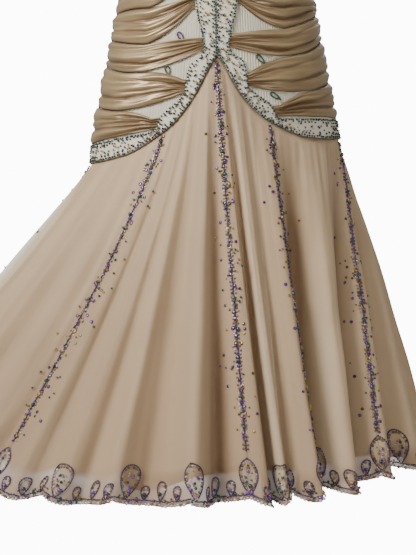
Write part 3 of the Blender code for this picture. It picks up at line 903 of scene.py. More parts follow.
@dataclass
class SkirtForm:
    """The chiffon skirt's surface: cloth position round the hem, and 0 at the hip line to 1 at the hem."""

    scallop_drop: float = 0.009
    narrows: float = 2.4
    top_gap: float = 0.0005

    def __post_init__(self) -> None:
        """Lay the fold table out three times round, so that it reads smoothly across the centre back."""
        column = FOLDS[:, Fold.CLOTH.value]
        self.ring = np.concatenate([column - SCALLOPS, column, column + SCALLOPS])
        self.tables = {key: np.tile(FOLDS[:, key.value], 3) for key in Fold}

    def read(self, key: Fold, cloth: Array) -> Array:
        """One column of the fold table, smooth all round.

        Args:
            key: the column.
            cloth: cloth positions.

        Returns:
            The values there.
        """
        return rounded(self.ring, self.tables[key], cloth)

    def _phase(self, cloth: Array) -> tuple[Array, Array]:
        """The fold that holds each place, and how far through it the place is."""
        k = np.clip(np.searchsorted(self.ring, cloth, side="right") - 1, 0, len(self.ring) - 2)
        return k, (cloth - self.ring[k]) / (self.ring[k + 1] - self.ring[k])

    def depth(self, cloth: Array) -> Array:
        """How far the cloth stands outside the mean hem line.

        Args:
            cloth: cloth positions.

        Returns:
            The distances.
        """
        k, t = self._phase(cloth)
        ridges, troughs = self.tables[Fold.RIDGE], self.tables[Fold.TROUGH]
        ridge = ridges[k] * (1 - t) + ridges[k + 1] * t
        return ridge - (ridge + troughs[k]) * np.sin(np.pi * t) ** self.narrows

    def lean(self, cloth: Array) -> Array:
        """How far the cloth is pushed along the hem, so that each ridge overhangs its trough.

        Args:
            cloth: cloth positions.

        Returns:
            The distances.
        """
        _, t = self._phase(cloth)
        return self.read(Fold.LEAN, cloth) * np.cos(2 * np.pi * t)

    def girth(self, cloth: Array) -> Array:
        """Girth angle at the hip line of each cloth position."""
        return smooth(Skirt.seam_cloth, Skirt.seam_girth, cloth)

    def at(self, cloth: Array, down: Array) -> Array:
        """Points on the skirt.

        Args:
            cloth: cloth positions.
            down: shares of the way from the hip line to the hem.

        Returns:
            The points.
        """
        down = np.clip(down, 0.0, 1.0)
        girth = self.girth(cloth)
        height = FIGURE.hip_line(girth) - self.top_gap
        top = FIGURE.lifted(girth, height, -0.0001)
        swing = down ** self.read(Fold.FLARE, cloth)

        def mean(at: Array) -> tuple[Array, Array]:
            """The unfolded skirt's x and y.

            Args:
                at: cloth positions.

            Returns:
                The two coordinates.
            """
            at = one_round(at)
            near = FIGURE.lifted(self.girth(at), height, -0.0001)
            share = down ** self.read(Fold.FLARE, at)
            return (near[..., 0] * (1 - share) + self.read(Fold.X, at) * share,
                    near[..., 1] * (1 - share) + self.read(Fold.Y, at) * share)

        x = top[..., 0] * (1 - swing) + self.read(Fold.X, cloth) * swing
        y = top[..., 1] * (1 - swing) + self.read(Fold.Y, cloth) * swing
        ahead, behind = mean(cloth + 0.2), mean(cloth - 0.2)
        across = np.hypot(ahead[0] - behind[0], ahead[1] - behind[1])
        along_x, along_y = (ahead[0] - behind[0]) / across, (ahead[1] - behind[1]) / across
        eased = np.clip(across / 0.4 / (0.012 + 0.055 * down), 0.25, 1.0)
        eased *= np.clip((HALF_ROUND - np.abs(cloth)) * 2.0, 0, 1)
        fold = self.depth(cloth) * down**1.1 + self.ripples(cloth, down) * eased
        push = self.lean(cloth) * down**1.2
        scallop = self.scallop_drop * np.abs(np.sin(np.pi * cloth)) ** 0.8
        z = top[..., 2] * (1 - down) + (self.read(Fold.Z, cloth) - scallop) * down
        x, y = x + along_y * fold + along_x * push, y - along_x * fold + along_y * push
        return np.stack([x, y, z], axis=-1)

    def ripples(self, cloth: Array, down: Array) -> Array:
        """Soft uneven ripples between the main folds.

        Args:
            cloth: cloth positions.
            down: shares of the way to the hem.

        Returns:
            How far the cloth stands out.
        """
        swept = np.exp(-0.5 * ((cloth + 6.4) / 2.6) ** 2)
        gathers = waver(self.girth(cloth), 7.0, 17) * 0.0009 * np.exp(-((down - 0.08) / 0.12) ** 2)
        slow = waver(cloth + 0.25 * down, 0.62, 3) * 0.0019 * down
        fine = waver(cloth - 0.12 * down, 0.21, 8) * 0.0006 * down
        rays = waver(cloth, 0.9, 21) * 0.0035 * swept * np.sin(np.pi * np.clip(down, 0, 1)) ** 0.7
        sag = waver(down + cloth * 0.13, 0.45, 12) * 0.0012 * down * (1 - down) * 4
        return (slow + fine + rays + sag) * np.clip(down * 6, 0, 1) + gathers * np.clip(down * 25, 0, 1)

    def normal(self, cloth: Array, down: Array) -> Array:
        """Outward unit normals of the skirt."""
        low = np.clip(down, 0.012, 0.988)
        return surface_normals(self.at, np.clip(cloth, 0.04 - HALF_ROUND, HALF_ROUND - 0.04), low, 0.03, 0.01)

    def sewn(self, cloth: Array, down: Array, across: Array, lift: float) -> tuple[Array, Array, Array]:
        """Places for beads near a line on the skirt.

        Args:
            cloth: cloth positions of the line.
            down: shares of the way to the hem.
            across: distances from the line, in metres.
            lift: height above the cloth.

        Returns:
            Places, outward normals and the way down the skirt.
        """
        step = 0.02
        inside = np.clip(cloth, step - HALF_ROUND, HALF_ROUND - step)
        apart = np.linalg.norm(self.at(inside + step, down) - self.at(inside - step, down), axis=-1)
        moved = one_round(cloth + across / np.maximum(apart / (2 * step), 0.02))
        normal = self.normal(moved, down)
        low = np.minimum(down + 0.01, 1.0)
        run = self.at(moved, low) - self.at(moved, low - 0.02)
        return self.at(moved, down) + normal * lift, normal, unit(run)


@dataclass
class Skirt:
    """Eight flared chiffon gores."""

    seam_cloth = (-16.0, -11.5, -7.0, -4.0, 0.0, 4.0, 7.0, 11.5, 16.0)
    seam_girth = (-180.0, -130.0, -80.0, -24.0, 0.0, 24.0, 80.0, 130.0, 180.0)
    names = ("back_centre_right", "back_side_right", "front_side_right", "front_centre_right",
             "front_centre_left", "front_side_left", "back_side_left", "back_centre_left")
    # Painted shade and painted light, cloth position by cloth position, added to the gores' painted shading
    doubled = (
        # cloth  painted shade where above 0, painted light where below 0
        (-16.0, 0.00),
        (-7.2, 0.04),
        (-5.2, 0.12),
        (-4.0, 0.22),
        (-3.1, 0.16),
        (-2.2, 0.06),
        (-0.8, 0.02),
        (0.35, 0.26),
        (1.2, -0.10),
        (2.6, -0.12),
        (3.7, 0.10),
        (4.05, 0.48),
        (4.45, 0.10),
        (5.0, -0.12),
        (5.9, 0.00),
        (8.2, -0.08),
        (10.0, 0.00),
        (16.0, 0.00),
    )
    form: SkirtForm = field(default_factory=SkirtForm)
    columns_per_scallop: int = 20
    rows: int = 64
    # Painted light along the held-out edge: where it is full, where it starts and how far it fades
    painted_light_edge: float = -6.93
    painted_light_from: float = -6.95
    painted_light_reach: float = 0.30
    pieces: dict = field(default_factory=dict)

    def make(self) -> None:
        """Make and declare every gore."""
        for index, name in enumerate(self.names):
            start, end = self.seam_cloth[index], self.seam_cloth[index + 1]
            columns = int(round((end - start) * self.columns_per_scallop))
            # Each gore carries its painted shade and painted light
            gore = Sheet(f"chiffon_gore_{name}", self._between(start, end), columns, self.rows, CHIFFON,
                         painted_shading=self._painted_shading(start, end))
            piece = gore.make()
            gore.declare(piece, f"skirt_{name}")
            self.pieces[name] = piece

    def _painted_shading(self, start: float, end: float) -> Surface:
        """The painted shade of the gore between two seams, with painted light along the held-out edge.

        Args:
            start: cloth position of the first seam.
            end: cloth position of the second seam.

        Returns:
            A function over 0 to 1 each way, below 0 where light is painted.
        """
        def shade(share: Array, down: Array) -> Array:
            """The painted shade of places on the gore, below 0 where light is painted.

            Args:
                share: 0 at the first seam to 1 at the second.
                down: 0 at the hip line to 1 at the hem.

            Returns:
                The painted shade.
            """
            cloth = start + (end - start) * share
            sunk = np.clip((-self.form.depth(cloth) - 0.003) / 0.030, 0, 1)
            # Painted light along the held-out edge, fading away from it
            past = np.clip(cloth - self.painted_light_edge, 0, None)
            edge = np.exp(-past / self.painted_light_reach) * np.clip(down * 5.0, 0, 1)
            pale = np.where(cloth > self.painted_light_from, edge, 0.0)
            # Painted shade and painted light in soft bands down the cloth
            shade_streaks = 0.11 * waver(cloth * 1.4, 1.0, 5) * (1 - 0.5 * down) + 0.05
            # Painted shade and painted light from the table along the hem
            doubled = np.interp(cloth, *np.transpose(self.doubled)) * np.clip(down * 1.6, 0, 1)
            # Painted shade, darkest deep in the troughs
            trough = 0.9 * sunk**1.5 * np.clip(down * 3.0, 0, 1)
            return trough + np.where(pale > 0.1, -pale, shade_streaks + doubled)

        return shade

    def _between(self, start: float, end: float) -> Surface:
        """The surface between two seams.

        Args:
            start: cloth position of the first seam.
            end: cloth position of the second seam.

        Returns:
            A surface over 0 to 1 each way.
        """
        def surface(share: Array, down: Array) -> Array:
            """Points of the gore."""
            return self.form.at(start + (end - start) * share, down)

        return surface


@dataclass
class Underskirt:
    """The narrower A-line skirt that shows through the chiffon."""

    half_width: float = 0.205
    front: float = 0.172
    back: float = 0.165
    hem: float = -1.040
    lift: float = 0.0018
    wave: float = 0.006
    waves: int = 14
    dip_girth: float = -21.0
    dip_spread: float = 9.0
    dip_out: float = 0.030
    dip_down: float = 0.020
    columns: int = 90
    rows: int = 30

    def at(self, girth: Array, down: Array) -> Array:
        """Points on the underskirt.

        Args:
            girth: girth angles in degrees.
            down: shares of the way to its hem.

        Returns:
            The points.
        """
        girth = (girth + 180.0) % 360.0 - 180.0
        turn = np.radians(girth)
        dip = np.exp(-0.5 * ((girth - self.dip_girth) / self.dip_spread) ** 2)
        small = waver(girth, 17.0, 5) * 0.0012
        spread = 1 + (self.wave * np.cos(turn * self.waves) + small + self.dip_out * dip) / self.front
        depth = np.where(np.cos(turn) > 0, self.front, self.back)
        top = FIGURE.lifted(girth, FIGURE.hip_line(girth) - 0.001, -self.lift)
        hem = np.stack([self.half_width * np.sin(turn) * spread, -depth * np.cos(turn) * spread,
                        self.hem - self.dip_down * dip], axis=-1)
        share = down[..., None]
        return top * (1 - share) + hem * share

    def make(self) -> None:
        """Make and declare both halves."""
        spans = {"front": (-SIDE_SEAM, SIDE_SEAM), "back": (SIDE_SEAM, 360.0 - SIDE_SEAM)}
        for name, span in spans.items():
            half = Sheet(f"underskirt_{name}_cloth", self.at, self.columns, self.rows, LINING, u_ends=span)
            piece = half.make()
            half.declare(piece, f"underskirt_{name}")


# The close-fitting panels

@dataclass
class HipPanels:
    """Crinkle-pleated chiffon from the hip line to the waist, between the bands."""

    pleat_pitch: float = 0.0034
    pleat_depth: float = 0.0019
    columns_front: int = 300
    columns_back: int = 130
    rows: int = 20
    seam: float = 0.00015
    fronts: dict = field(default_factory=dict)

    def surface(self, start: float, end: float) -> Surface:
        """One panel's surface.

        Args:
            start: girth angle of its first edge.
            end: girth angle of its other edge.

        Returns:
            A surface over 0 to 1 each way.
        """
        def panel(share: Array, down: Array) -> Array:
            """Points of the panel.

            Args:
                share: 0 at its first edge to 1 at its last.
                down: 0 at its top to 1 at its foot.

            Returns:
                The points.
            """
            girth = start + (end - start) * share
            top = np.full_like(girth, FIGURE.waist_seam - self.seam)
            height = top * (1 - down) + (FIGURE.hip_line(girth) + 0.0005) * down
            run = girth * 0.0024 + waver(height + girth * 0.0003, 0.03, 31) * 0.0007
            crease = np.abs(np.sin(np.pi * run / self.pleat_pitch)) ** 0.7
            uneven = 0.7 + 0.3 * waver(girth + height * 60, 9.0, 32)
            lift = -self.pleat_depth * (1 - crease) * uneven - 0.0001
            return FIGURE.lifted(girth, height, lift)

        return panel

    def make(self) -> None:
        for side in Side:
            for where, low, high in PANEL_SPANS:
                columns = self.columns_front if where == "front" else self.columns_back
                panel = Sheet(f"hip_panels_{where}_{side.word}", self.surface(*side.span(low, high)),
                              columns, self.rows, PLEATED)
                piece = panel.make()
                panel.declare(piece, f"hip_panel_{where}_{side.word}")
                if where == "front":
                    self.fronts[side.word] = piece


@dataclass
class Bodice:
    """Plain satin bodice with softly shaped cups."""

    columns: int = 44
    rows: int = 30
    seam: float = 0.00015
    wall: float = 0.0009
    cup_seam_width: float = 1.6
    cup_seam_depth: float = 0.0007
    binding: float = 0.0012

    def surface(self, start: float, end: float) -> Surface:
        """One panel's surface.

        Args:
            start: girth angle of its first edge.
            end: girth angle of its other edge.

        Returns:
            A surface over 0 to 1 each way.
        """
        def panel(share: Array, down: Array) -> Array:
            """Points of the panel.

            Args:
                share: 0 at its first edge to 1 at its last.
                down: 0 at its top to 1 at its foot.

            Returns:
                The points.
            """
            girth = start + (end - start) * share
            bottom = np.full_like(girth, FIGURE.waist_seam + self.seam)
            height = FIGURE.neckline(girth) * (1 - down) + bottom * down
            drag = waver(girth * 0.0022 + height * 0.8, 0.05, 41) * 0.0009 * np.sin(np.pi * down)
            waist = waver(height + girth * 0.00012, 0.022, 42) * 0.0010 * down**3
            waist = waist * np.clip(5 - 5 * down, 0, 1)
            cup = (np.abs(girth) - FIGURE.bust_girth) / self.cup_seam_width
            seam_dip = -self.cup_seam_depth * np.exp(-0.5 * cup**2)
            return FIGURE.lifted(girth, height, drag + waist + seam_dip)

        return panel

    def make(self) -> None:
        for side in Side:
            for where, low, high in PANEL_SPANS:
                panel = Sheet(f"bodice_panel_{where}_{side.word}", self.surface(*side.span(low, high)),
                              self.columns, self.rows, BODICE_SATIN, wall=self.wall)
                piece = panel.make()
                panel.declare(piece, f"bodice_{where}_{side.word}")
        girths = np.linspace(-180, 179, 260)
        rim = FIGURE.lifted(girths, FIGURE.neckline(girths) - 0.0006, 0.0004)
        tube("neckline_binding", rim, self.binding, SATIN, closed=True)


def tube(name: str, path: Array, radius: float, finish: ClothFinish,
         closed: bool = False) -> bpy.types.Object:
    """A thin round cord along a path.

    Args:
        name: the piece's name.
        path: the points of its middle.
        radius: its radius in metres.
        finish: its cloth.
        closed: whether its ends meet.

    Returns:
        The piece's object.
    """
    curve = bpy.data.curves.new(name, "CURVE")
    curve.dimensions = "3D"
    spline = curve.splines.new("POLY")
    spline.points.add(len(path) - 1)
    spline.points.foreach_set("co", np.concatenate([path, np.ones((len(path), 1))], axis=1).ravel())
    spline.use_cyclic_u = closed
    curve.bevel_depth = radius
    curve.bevel_resolution = 2
    curve.use_fill_caps = True
    holder = bpy.data.objects.new(name, curve)
    mesh = bpy.data.meshes.new_from_object(holder)
    bpy.data.objects.remove(holder)
    layer = mesh.uv_layers.new(name="cloth")
    around = np.empty(len(mesh.vertices) * 3)
    mesh.vertices.foreach_get("co", around)
    corners = np.empty(len(mesh.loops), dtype=np.int32)
    mesh.loops.foreach_get("vertex_index", corners)
    layer.data.foreach_set("uv", around.reshape(-1, 3)[corners][:, ::2].ravel())
    mesh.materials.clear()
    mesh.materials.append(finish.material())
    mesh.shade_smooth()
    piece = add_object(name, mesh)
    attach(piece, "root")
    return piece


@dataclass
class SatinBands:
    """Five ruched satin bands a side, each gathered at the front trim and drawn round to the back."""

    names = ("hip", "lower", "middle", "upper", "waist")
    end_girth = (29.8, 15.6, 7.4, 13.2, 13.6)
    end_height = (-0.6020, -0.5600, -0.5080, -0.4530, -0.4060)
    end_half = (0.0070, 0.0090, 0.0085, 0.0080, 0.0090)
    meets_girth = (52.0, 42.0, 38.0, 42.0, 44.0)
    line_girth = (38.0, 50.0, 65.0, 85.0, 180.0)
    lines = (
        (-0.6105, -0.6105, -0.6100, -0.6090, -0.6040),
        (-0.5790, -0.5770, -0.5690, -0.5585, -0.5560),
        (-0.5320, -0.5270, -0.5160, -0.5030, -0.5060),
        (-0.4960, -0.4890, -0.4790, -0.4680, -0.4620),
        (-0.4500, -0.4460, -0.4430, -0.4400, -0.4260),
        (-0.3960, -0.3915, -0.3875, -0.3864, -0.3864),
    )
    tucked_girth = (25.9, 13.7, 6.1, 10.8, 10.8)
    creases = (
        # gathers far    depth  reach
        (-0.66, -0.86, 0.55, 20.0),
        (-0.34, -0.42, 1.05, 400.0),
        (-0.05, -0.02, 0.55, 24.0),
        (0.22, 0.36, 0.95, 60.0),
        (0.52, 0.66, 0.65, 22.0),
    )
    spreads: float = 2.2
    gap: float = 0.0006
    side_girth: float = 85.0
    back_girth: float = BACK_END
    seat: float = 0.0007
    lift: float = 0.0008
    puff: float = 0.0062
    fold: float = 0.0062
    gather: float = 0.0015
    lap_above: float = 0.09
    lap_below: float = 0.22
    columns: int = 126
    rows: int = 42

    def edge(self, row: int, girth: Array, upper: bool) -> Array:
        """Heights of one band's upper or lower edge, before the tilt.

        Args:
            row: the band's row in the tables.
            girth: girth angles, positive on both sides.
            upper: whether it is the upper edge.

        Returns:
            The heights.
        """
        start, sign = self.end_girth[row], 1 if upper else -1
        line = smooth(self.line_girth, self.lines[row + upper], girth) - sign * self.gap / 2
        share = np.clip((girth - start) / (self.meets_girth[row] - start), 0, 1)
        opened = 1 - (1 - share) ** self.spreads
        gathered = self.end_height[row] + sign * self.end_half[row]
        return gathered * (1 - opened) + line * opened

    def relief(self, across: Array, away: Array, seed: int) -> tuple[Array, Array]:
        """The creases and the short gathers across one band, and the shade painted into them.

        Args:
            across: -1 at the lower edge to 1 at the upper one.
            away: girth angles from the gathered end.
            seed: the band's draw.

        Returns:
            The height in metres, and the painted shade of each place, from 0 to 1.
        """
        draw = np.random.default_rng(seed)
        settle = np.exp(-away / 18.0)
        sunk, dark = np.zeros_like(across), np.zeros_like(across)
        for near, far, depth, reach in self.creases:
            path = (near + draw.normal(0, 0.07)) * settle + (far + draw.normal(0, 0.14)) * (1 - settle)
            path = path + 0.09 * waver(away, 60.0, draw.integers(1000)) * (1 - settle)
            aside = across - path
            width = np.where(aside > 0, self.lap_above, self.lap_below)
            fade = np.exp(-(away / (reach * draw.uniform(0.7, 1.5))) ** 2)
            fade = fade * np.clip(1 + 0.35 * waver(away, 40.0, draw.integers(1000)), 0.3, 1.4)
            strength = depth * draw.uniform(0.6, 1.25) * fade
            sunk += strength * np.exp(-(np.abs(aside) / width) ** 0.75)
            # Painted shade along each crease
            dark += strength * np.exp(-(np.abs(aside) / (width * 0.7)) ** 1.3)
        swell = 0.20 * waver(across + away * 0.006, 0.72, seed + 30)
        short = np.zeros_like(across)
        for count, reach, share in ((4.5, 15.0, 1.0), (8.0, 7.0, 0.8)):
            place = across * count / 2 + 0.35 * waver(away, 34.0, seed + 9) + draw.random()
            short += share * (1 - np.abs(np.sin(np.pi * place)) ** 0.8) * np.exp(-away / reach)
        # Painted shade in the creases, in the short gathers and along the band's edges where bands meet, and
        # less on the swells
        edges = np.clip((np.abs(across) - 0.86) / 0.14, 0, 1) ** 1.5
        painted_shading = np.clip(dark * 1.05 + short * 0.6 + edges * 0.9 - swell, 0, 1)
        return self.fold * (swell - sunk) - self.gather * short, painted_shading

    def spot(self, row: int, side: Side, share: Array, down: Array) -> tuple[Array, Array, Array]:
        """Where a place on a band lies.

        Args:
            row: the band's row in the tables.
            side: the wearer's side.
            share: 0 to 1 from the surface's first end to its last.
            down: 0 at the upper edge to 1 at the lower one.

        Returns:
            The girth angle, positive on both sides, its distance from the gathers, and the place across.
        """
        far = share if side is Side.LEFT else 1 - share
        tucked = self.tucked_girth[row]
        girth = tucked + (self.back_girth - tucked) * far**1.35
        return girth, np.maximum(girth - self.end_girth[row], 0.0), 1 - 2 * down

    def surface(self, row: int, side: Side) -> Surface:
        """One band's surface.

        Args:
            row: the band's row in the tables.
            side: the wearer's side.

        Returns:
            A surface over 0 to 1 each way.
        """
        seed = self.seed(row, side)

        def band(share: Array, down: Array) -> Array:
            """Points of the band.

            Args:
                share: 0 to 1 from its first end to its last.
                down: 0 at its upper edge to 1 at its lower one.

            Returns:
                The points.
            """
            girth, away, across = self.spot(row, side, share, down)
            top, bottom = self.edge(row, girth, True), self.edge(row, girth, False)
            height = FIGURE.tilted((top + bottom) / 2 + across * (top - bottom) / 2, side.value * girth)
            back = np.clip((girth - self.side_girth) / 95.0, 0, 1)
            out = np.clip((girth - self.tucked_girth[row]) / 4.0, 0, 1) ** 0.7
            beside = np.exp(-0.5 * ((girth - 88.0) / 16.0) ** 2)
            dome = self.puff * (1 - np.abs(across) ** 3.4) ** 0.7 * (1 - 0.3 * beside)
            flank = (1 - np.abs(across) ** 9) ** 0.6
            swell = waver(girth, 50.0, seed + 1) * 0.0009 * (1 - across**2)
            full = dome + (self.relief(across, away, seed)[0] + swell) * flank
            lift = self.seat + out * (self.lift + np.maximum(full * (1 - 0.4 * back), 0.0))
            return FIGURE.lifted(side.value * girth, height, lift)

        return band

    def seed(self, row: int, side: Side) -> int:
        """The draw of one band."""
        return 60 + row * 7 + (3 if side is Side.LEFT else 0)

    def painted_shading(self, row: int, side: Side) -> Surface:
        """The painted shade of one band, over 0 to 1 each way."""
        def shade(share: Array, down: Array) -> Array:
            """The painted shade at places on the band."""
            _, away, across = self.spot(row, side, share, down)
            return self.relief(across, away, self.seed(row, side))[1]

        return shade

    def make(self) -> None:
        for row, name in enumerate(self.names):
            for side in Side:
                # Each band carries its painted shade
                strip = Sheet(f"ruched_band_{name}_{side.word}", self.surface(row, side), self.columns,
                              self.rows, SATIN, wall=0.0006, fullness=1.15, painted_shading=self.painted_shading(row, side))
                piece = strip.make()
                strip.declare(piece, f"satin_band_{name}_{side.word}")


@dataclass
class BeadedTrim:
    """Ivory trim with beaded edges, down beside the centre front and round the hip line."""

    low_girth = (0.1, 0.1, 0.1, 0.1, 0.1, 0.1, 2.0, 3.8, 6.0, 9.0, 12.8, 18.2, 22.5, 27.5, 43.5, 58.5, 80.0,
                 120.0, 150.0, 179.9)
    low_height = (-0.235, -0.300, -0.385, -0.450, -0.490, -0.521, -0.532, -0.5385, -0.5505, -0.5665, -0.5835,
                  -0.6015, -0.6115, -0.6195, -0.6355, -0.6375, -0.6345, -0.6315, -0.6295, -0.6285)
    high_girth = (7.5, 9.0, 11.5, 11.5, 8.0, 6.2, 8.2, 12.5, 14.2, 14.6, 17.5, 25.0, 27.8, 31.5, 47.0, 60.0,
                  80.0, 120.0, 150.0, 179.9)
    high_height = (-0.226, -0.300, -0.385, -0.450, -0.490, -0.514, -0.526, -0.534, -0.5480, -0.568, -0.578,
                   -0.594, -0.610, -0.6135, -0.613, -0.613, -0.611, -0.609, -0.607, -0.606)
    lift: float = 0.0018
    piping: float = 0.0006
    columns: int = 300
    rows: int = 8

    def __post_init__(self) -> None:
        """Work out even steps along the trim."""
        self.stations = np.arange(len(self.low_girth), dtype=float)
        fine = np.linspace(0, self.stations[-1], 600)
        middle = self.at(Side.LEFT, fine, np.full_like(fine, 0.5), 0.0, even=False)
        run = distances(middle)
        self.length = float(run[-1])
        self.share_of, self.station_of = run / run[-1], fine
        self.apex = float(np.interp(5.0, fine, run / run[-1]))

    def at(self, side: Side, along: Array, across: Array, lift: float, even: bool = True) -> Array:
        """Points on the trim.

        Args:
            side: the wearer's side.
            along: 0 at the neckline to 1 at the centre back, or the table's rows where not even.
            across: 0 at the upper edge to 1 at the lower one.
            lift: height above the trim's face.
            even: whether along is a share of the trim's length.

        Returns:
            The points.
        """
        girth, height = self.spot(side, along, across, even)
        return FIGURE.lifted(girth, height, self.lift + lift)

    def spot(self, side: Side, along: Array, across: Array, even: bool = True) -> tuple[Array, Array]:
        """Girth angles and heights of places on the trim.

        Args:
            side: the wearer's side.
            along: 0 at the neckline to 1 at the centre back, or the table's rows where not even.
            across: 0 at the upper edge to 1 at the lower one.
            even: whether along is a share of the trim's length.

        Returns:
            The girth angles and the heights.
        """
        row = np.interp(along, self.share_of, self.station_of) if even else along
        read = {key: smooth(self.stations, getattr(self, key), row)
                for key in ("low_girth", "low_height", "high_girth", "high_height")}
        girth = side.value * (read["high_girth"] * (1 - across) + read["low_girth"] * across)
        height = FIGURE.tilted(read["high_height"] * (1 - across) + read["low_height"] * across, girth)
        return girth, height

    def make(self) -> None:
        """Make and declare both strips, their piping and their beads."""
        for side in Side:
            def strip(share: Array, down: Array, side: Side = side) -> Array:
                """Points of one strip, running the way that faces outwards.

                Args:
                    share: 0 at the neckline to 1 at the centre back.
                    down: 0 to 1 across the strip.
                    side: the wearer's side.

                Returns:
                    The points.
                """
                down = down if side is Side.LEFT else 1 - down
                swell = np.sin(np.pi * np.clip(down, 0, 1)) * 0.0003
                girth, height = self.spot(side, share, down)
                return FIGURE.lifted(girth, height, self.lift + swell)

            cloth = Sheet(f"trim_ground_{side.word}", strip, self.columns, self.rows, TRIM, wall=0.0009)
            piece = cloth.make()
            cloth.declare(piece, f"beaded_trim_{side.word}")
            along = np.linspace(self.apex, 0.998, 400)
            edge = self.at(side, along, np.full_like(along, 1.03), -0.0004)
            tube(f"trim_piping_{side.word}", edge, self.piping, PIPING)
            self.beads(side, piece)

    def beads(self, side: Side, piece: bpy.types.Object) -> None:
        """Sew the beads of one strip: crowded edges and scattered beads between.

        Args:
            side: the wearer's side.
            piece: the strip.
        """
        work = BeadWork(f"trim_beads_{side.word}")
        draw = np.random.default_rng(11 if side is Side.LEFT else 12)
        rows = (
            # across  pitch   size    kept  colours
            (0.050, 0.0039, 0.0031, 1.00, (TEAL, GREEN, TEAL, DEEP)),
            (0.200, 0.0058, 0.0030, 0.80, (TEAL, GREEN, DEEP, PLUM)),
            (0.950, 0.0039, 0.0031, 1.00, (TEAL, GREEN, TEAL, DEEP)),
            (0.800, 0.0058, 0.0030, 0.80, (TEAL, GREEN, DEEP, PLUM)),
        )
        for across, pitch, size, kept, colours in rows:
            count = int(self.length / pitch)
            along = (np.arange(count) + 0.5 + draw.normal(0, 0.12, count)) / count
            keep = draw.random(count) < kept
            edge = across + draw.normal(0, 0.018, count)
            widths = size * draw.uniform(0.85, 1.1, keep.sum())
            self._sew(work, side, Bead.DOME, along[keep], edge[keep], widths, pick(draw, colours, keep.sum()))
        scattered = int(self.length * 400)
        along, across = draw.random(scattered), 0.26 + 0.50 * draw.random(scattered)
        self._sew(work, side, Bead.SEED, along, across, 0.0029 * (0.85 + 0.3 * draw.random(scattered)),
                  pick(draw, (GREEN, PLUM, GOLD, DEEP, OLIVE, GOLD, CLEAR), scattered))
        work.make(piece)

    def _sew(self, work: BeadWork, side: Side, kind: Bead, along: Array, across: Array, width: float | Array,
             colours: Array) -> None:
        """Put beads of one kind at places on the trim.

        Args:
            work: the beadwork they join.
            side: the wearer's side.
            kind: which bead.
            along: shares of the trim's length.
            across: 0 at the upper edge to 1 at the lower one.
            width: the beads' width in metres.
            colours: one colour for each bead.
        """
        girth, height = self.spot(side, along, across)
        after = self.at(side, np.minimum(along + 0.002, 1.0), across, 0.0)
        run = unit(after - self.at(side, along - 0.002, across, 0.0))
        places = self.at(side, along, across, SEWN_LIFT)
        work.sew(kind, places, FIGURE.out(girth, height), run, width, colours)


@dataclass
class Straps:
    """Two plain shoulder straps."""

    width: float = 0.010
    wall: float = 0.0016
    front_girth: float = 33.0
    back_girth: float = 142.0
    seat: float = 0.0006
    over = ((0.078, -0.098, -0.095), (0.081, -0.052, -0.020), (0.082, 0.0, 0.0016), (0.081, 0.046, -0.024),
            (0.078, 0.076, -0.110))

    def make(self) -> None:
        """Make and declare both straps."""
        ends = np.array([self.front_girth, self.back_girth])
        ends_at = FIGURE.lifted(ends, FIGURE.neckline(ends) + self.seat, 0.0002)
        route = np.array([ends_at[0], *self.over, ends_at[1]])
        stations = np.arange(len(route), dtype=float)
        for side in Side:
            def strap(share: Array, across: Array, side: Side = side) -> Array:
                """Points of the strap.

                Args:
                    share: 0 to 1 across its width.
                    across: 0 to 1 along its length.
                    side: the wearer's side.

                Returns:
                    The points.
                """
                def middle(at: Array) -> Array:
                    """Points of the strap's middle line at these stations."""
                    return np.stack([rounded(stations, route[:, axis], at) for axis in range(3)], axis=-1)

                at = across * stations[-1]
                line = middle(at)
                heading = unit(middle(np.minimum(at + 0.01, stations[-1])) - middle(np.maximum(at - 0.01, 0)))
                out = unit(np.cross(np.array([1.0, 0.0, 0.0]), heading))
                wide = np.cross(heading, out) * self.width / 2
                share = share if side is Side.LEFT else 1 - share
                crown = 0.0003 * np.sin(np.pi * share)
                points = line - wide + 2 * wide * share[..., None] + out * crown[..., None]
                points[..., 0] *= side.value
                return points

            cloth = Sheet(f"shoulder_strap_cloth_{side.word}", strap, 8, 120, SATIN, wall=self.wall)
            piece = cloth.make()
            cloth.declare(piece, f"shoulder_strap_{side.word}")


@dataclass
class PanelLoops:
    """Small leaf loops in satin stitch on the hip panels, in the gaps between the bands."""

    places = (
        # girth  height  turn  colour
        (-18.5, -0.494, 35.0, "plum"),
        (-24.0, -0.536, 20.0, "green"),
        (22.0, -0.535, 40.0, "green"),
        (28.0, -0.583, 60.0, "green"),
    )
    length: float = 0.013
    width: float = 0.0055
    lift: float = 0.0005

    def make(self, panels: dict[str, bpy.types.Object]) -> None:
        """Stitch the loops.

        Args:
            panels: the hip panels by side word.
        """
        for side in Side:
            work = BeadWork(f"panel_loops_{side.word}")
            for girth, height, turn, colour in self.places:
                if girth * side.value > 0:
                    self._loop(work, girth, height, math.radians(turn), PLUM if colour == "plum" else GREEN)
            work.make(panels[side.word])

    def _loop(self, work: BeadWork, girth: float, height: float, turn: float, colour: Colour) -> None:
        """Stitch one loop.

        Args:
            work: the stitching it joins.
            girth: girth angle of its middle.
            height: height of its middle.
            turn: how far its length turns from upright.
            colour: the thread's colour.
        """
        sweep = np.linspace(0, 2 * np.pi, 20, endpoint=False)
        tall = -np.cos(sweep) * self.length / 2
        wide = np.sin(sweep) * np.sin(sweep / 2) * self.width / 2 * 1.3
        across = wide * math.cos(turn) - tall * math.sin(turn)
        up = wide * math.sin(turn) + tall * math.cos(turn)
        girths = girth + across / 0.0024
        heights = FIGURE.tilted(np.full_like(up, height), np.full_like(up, girth)) + up
        at = FIGURE.lifted(girths, heights, self.lift)
        work.sew(Bead.STITCH, at, FIGURE.out(girths, heights), np.roll(at, -1, axis=0) - at, 0.0042, colour)


# Beading on the skirt

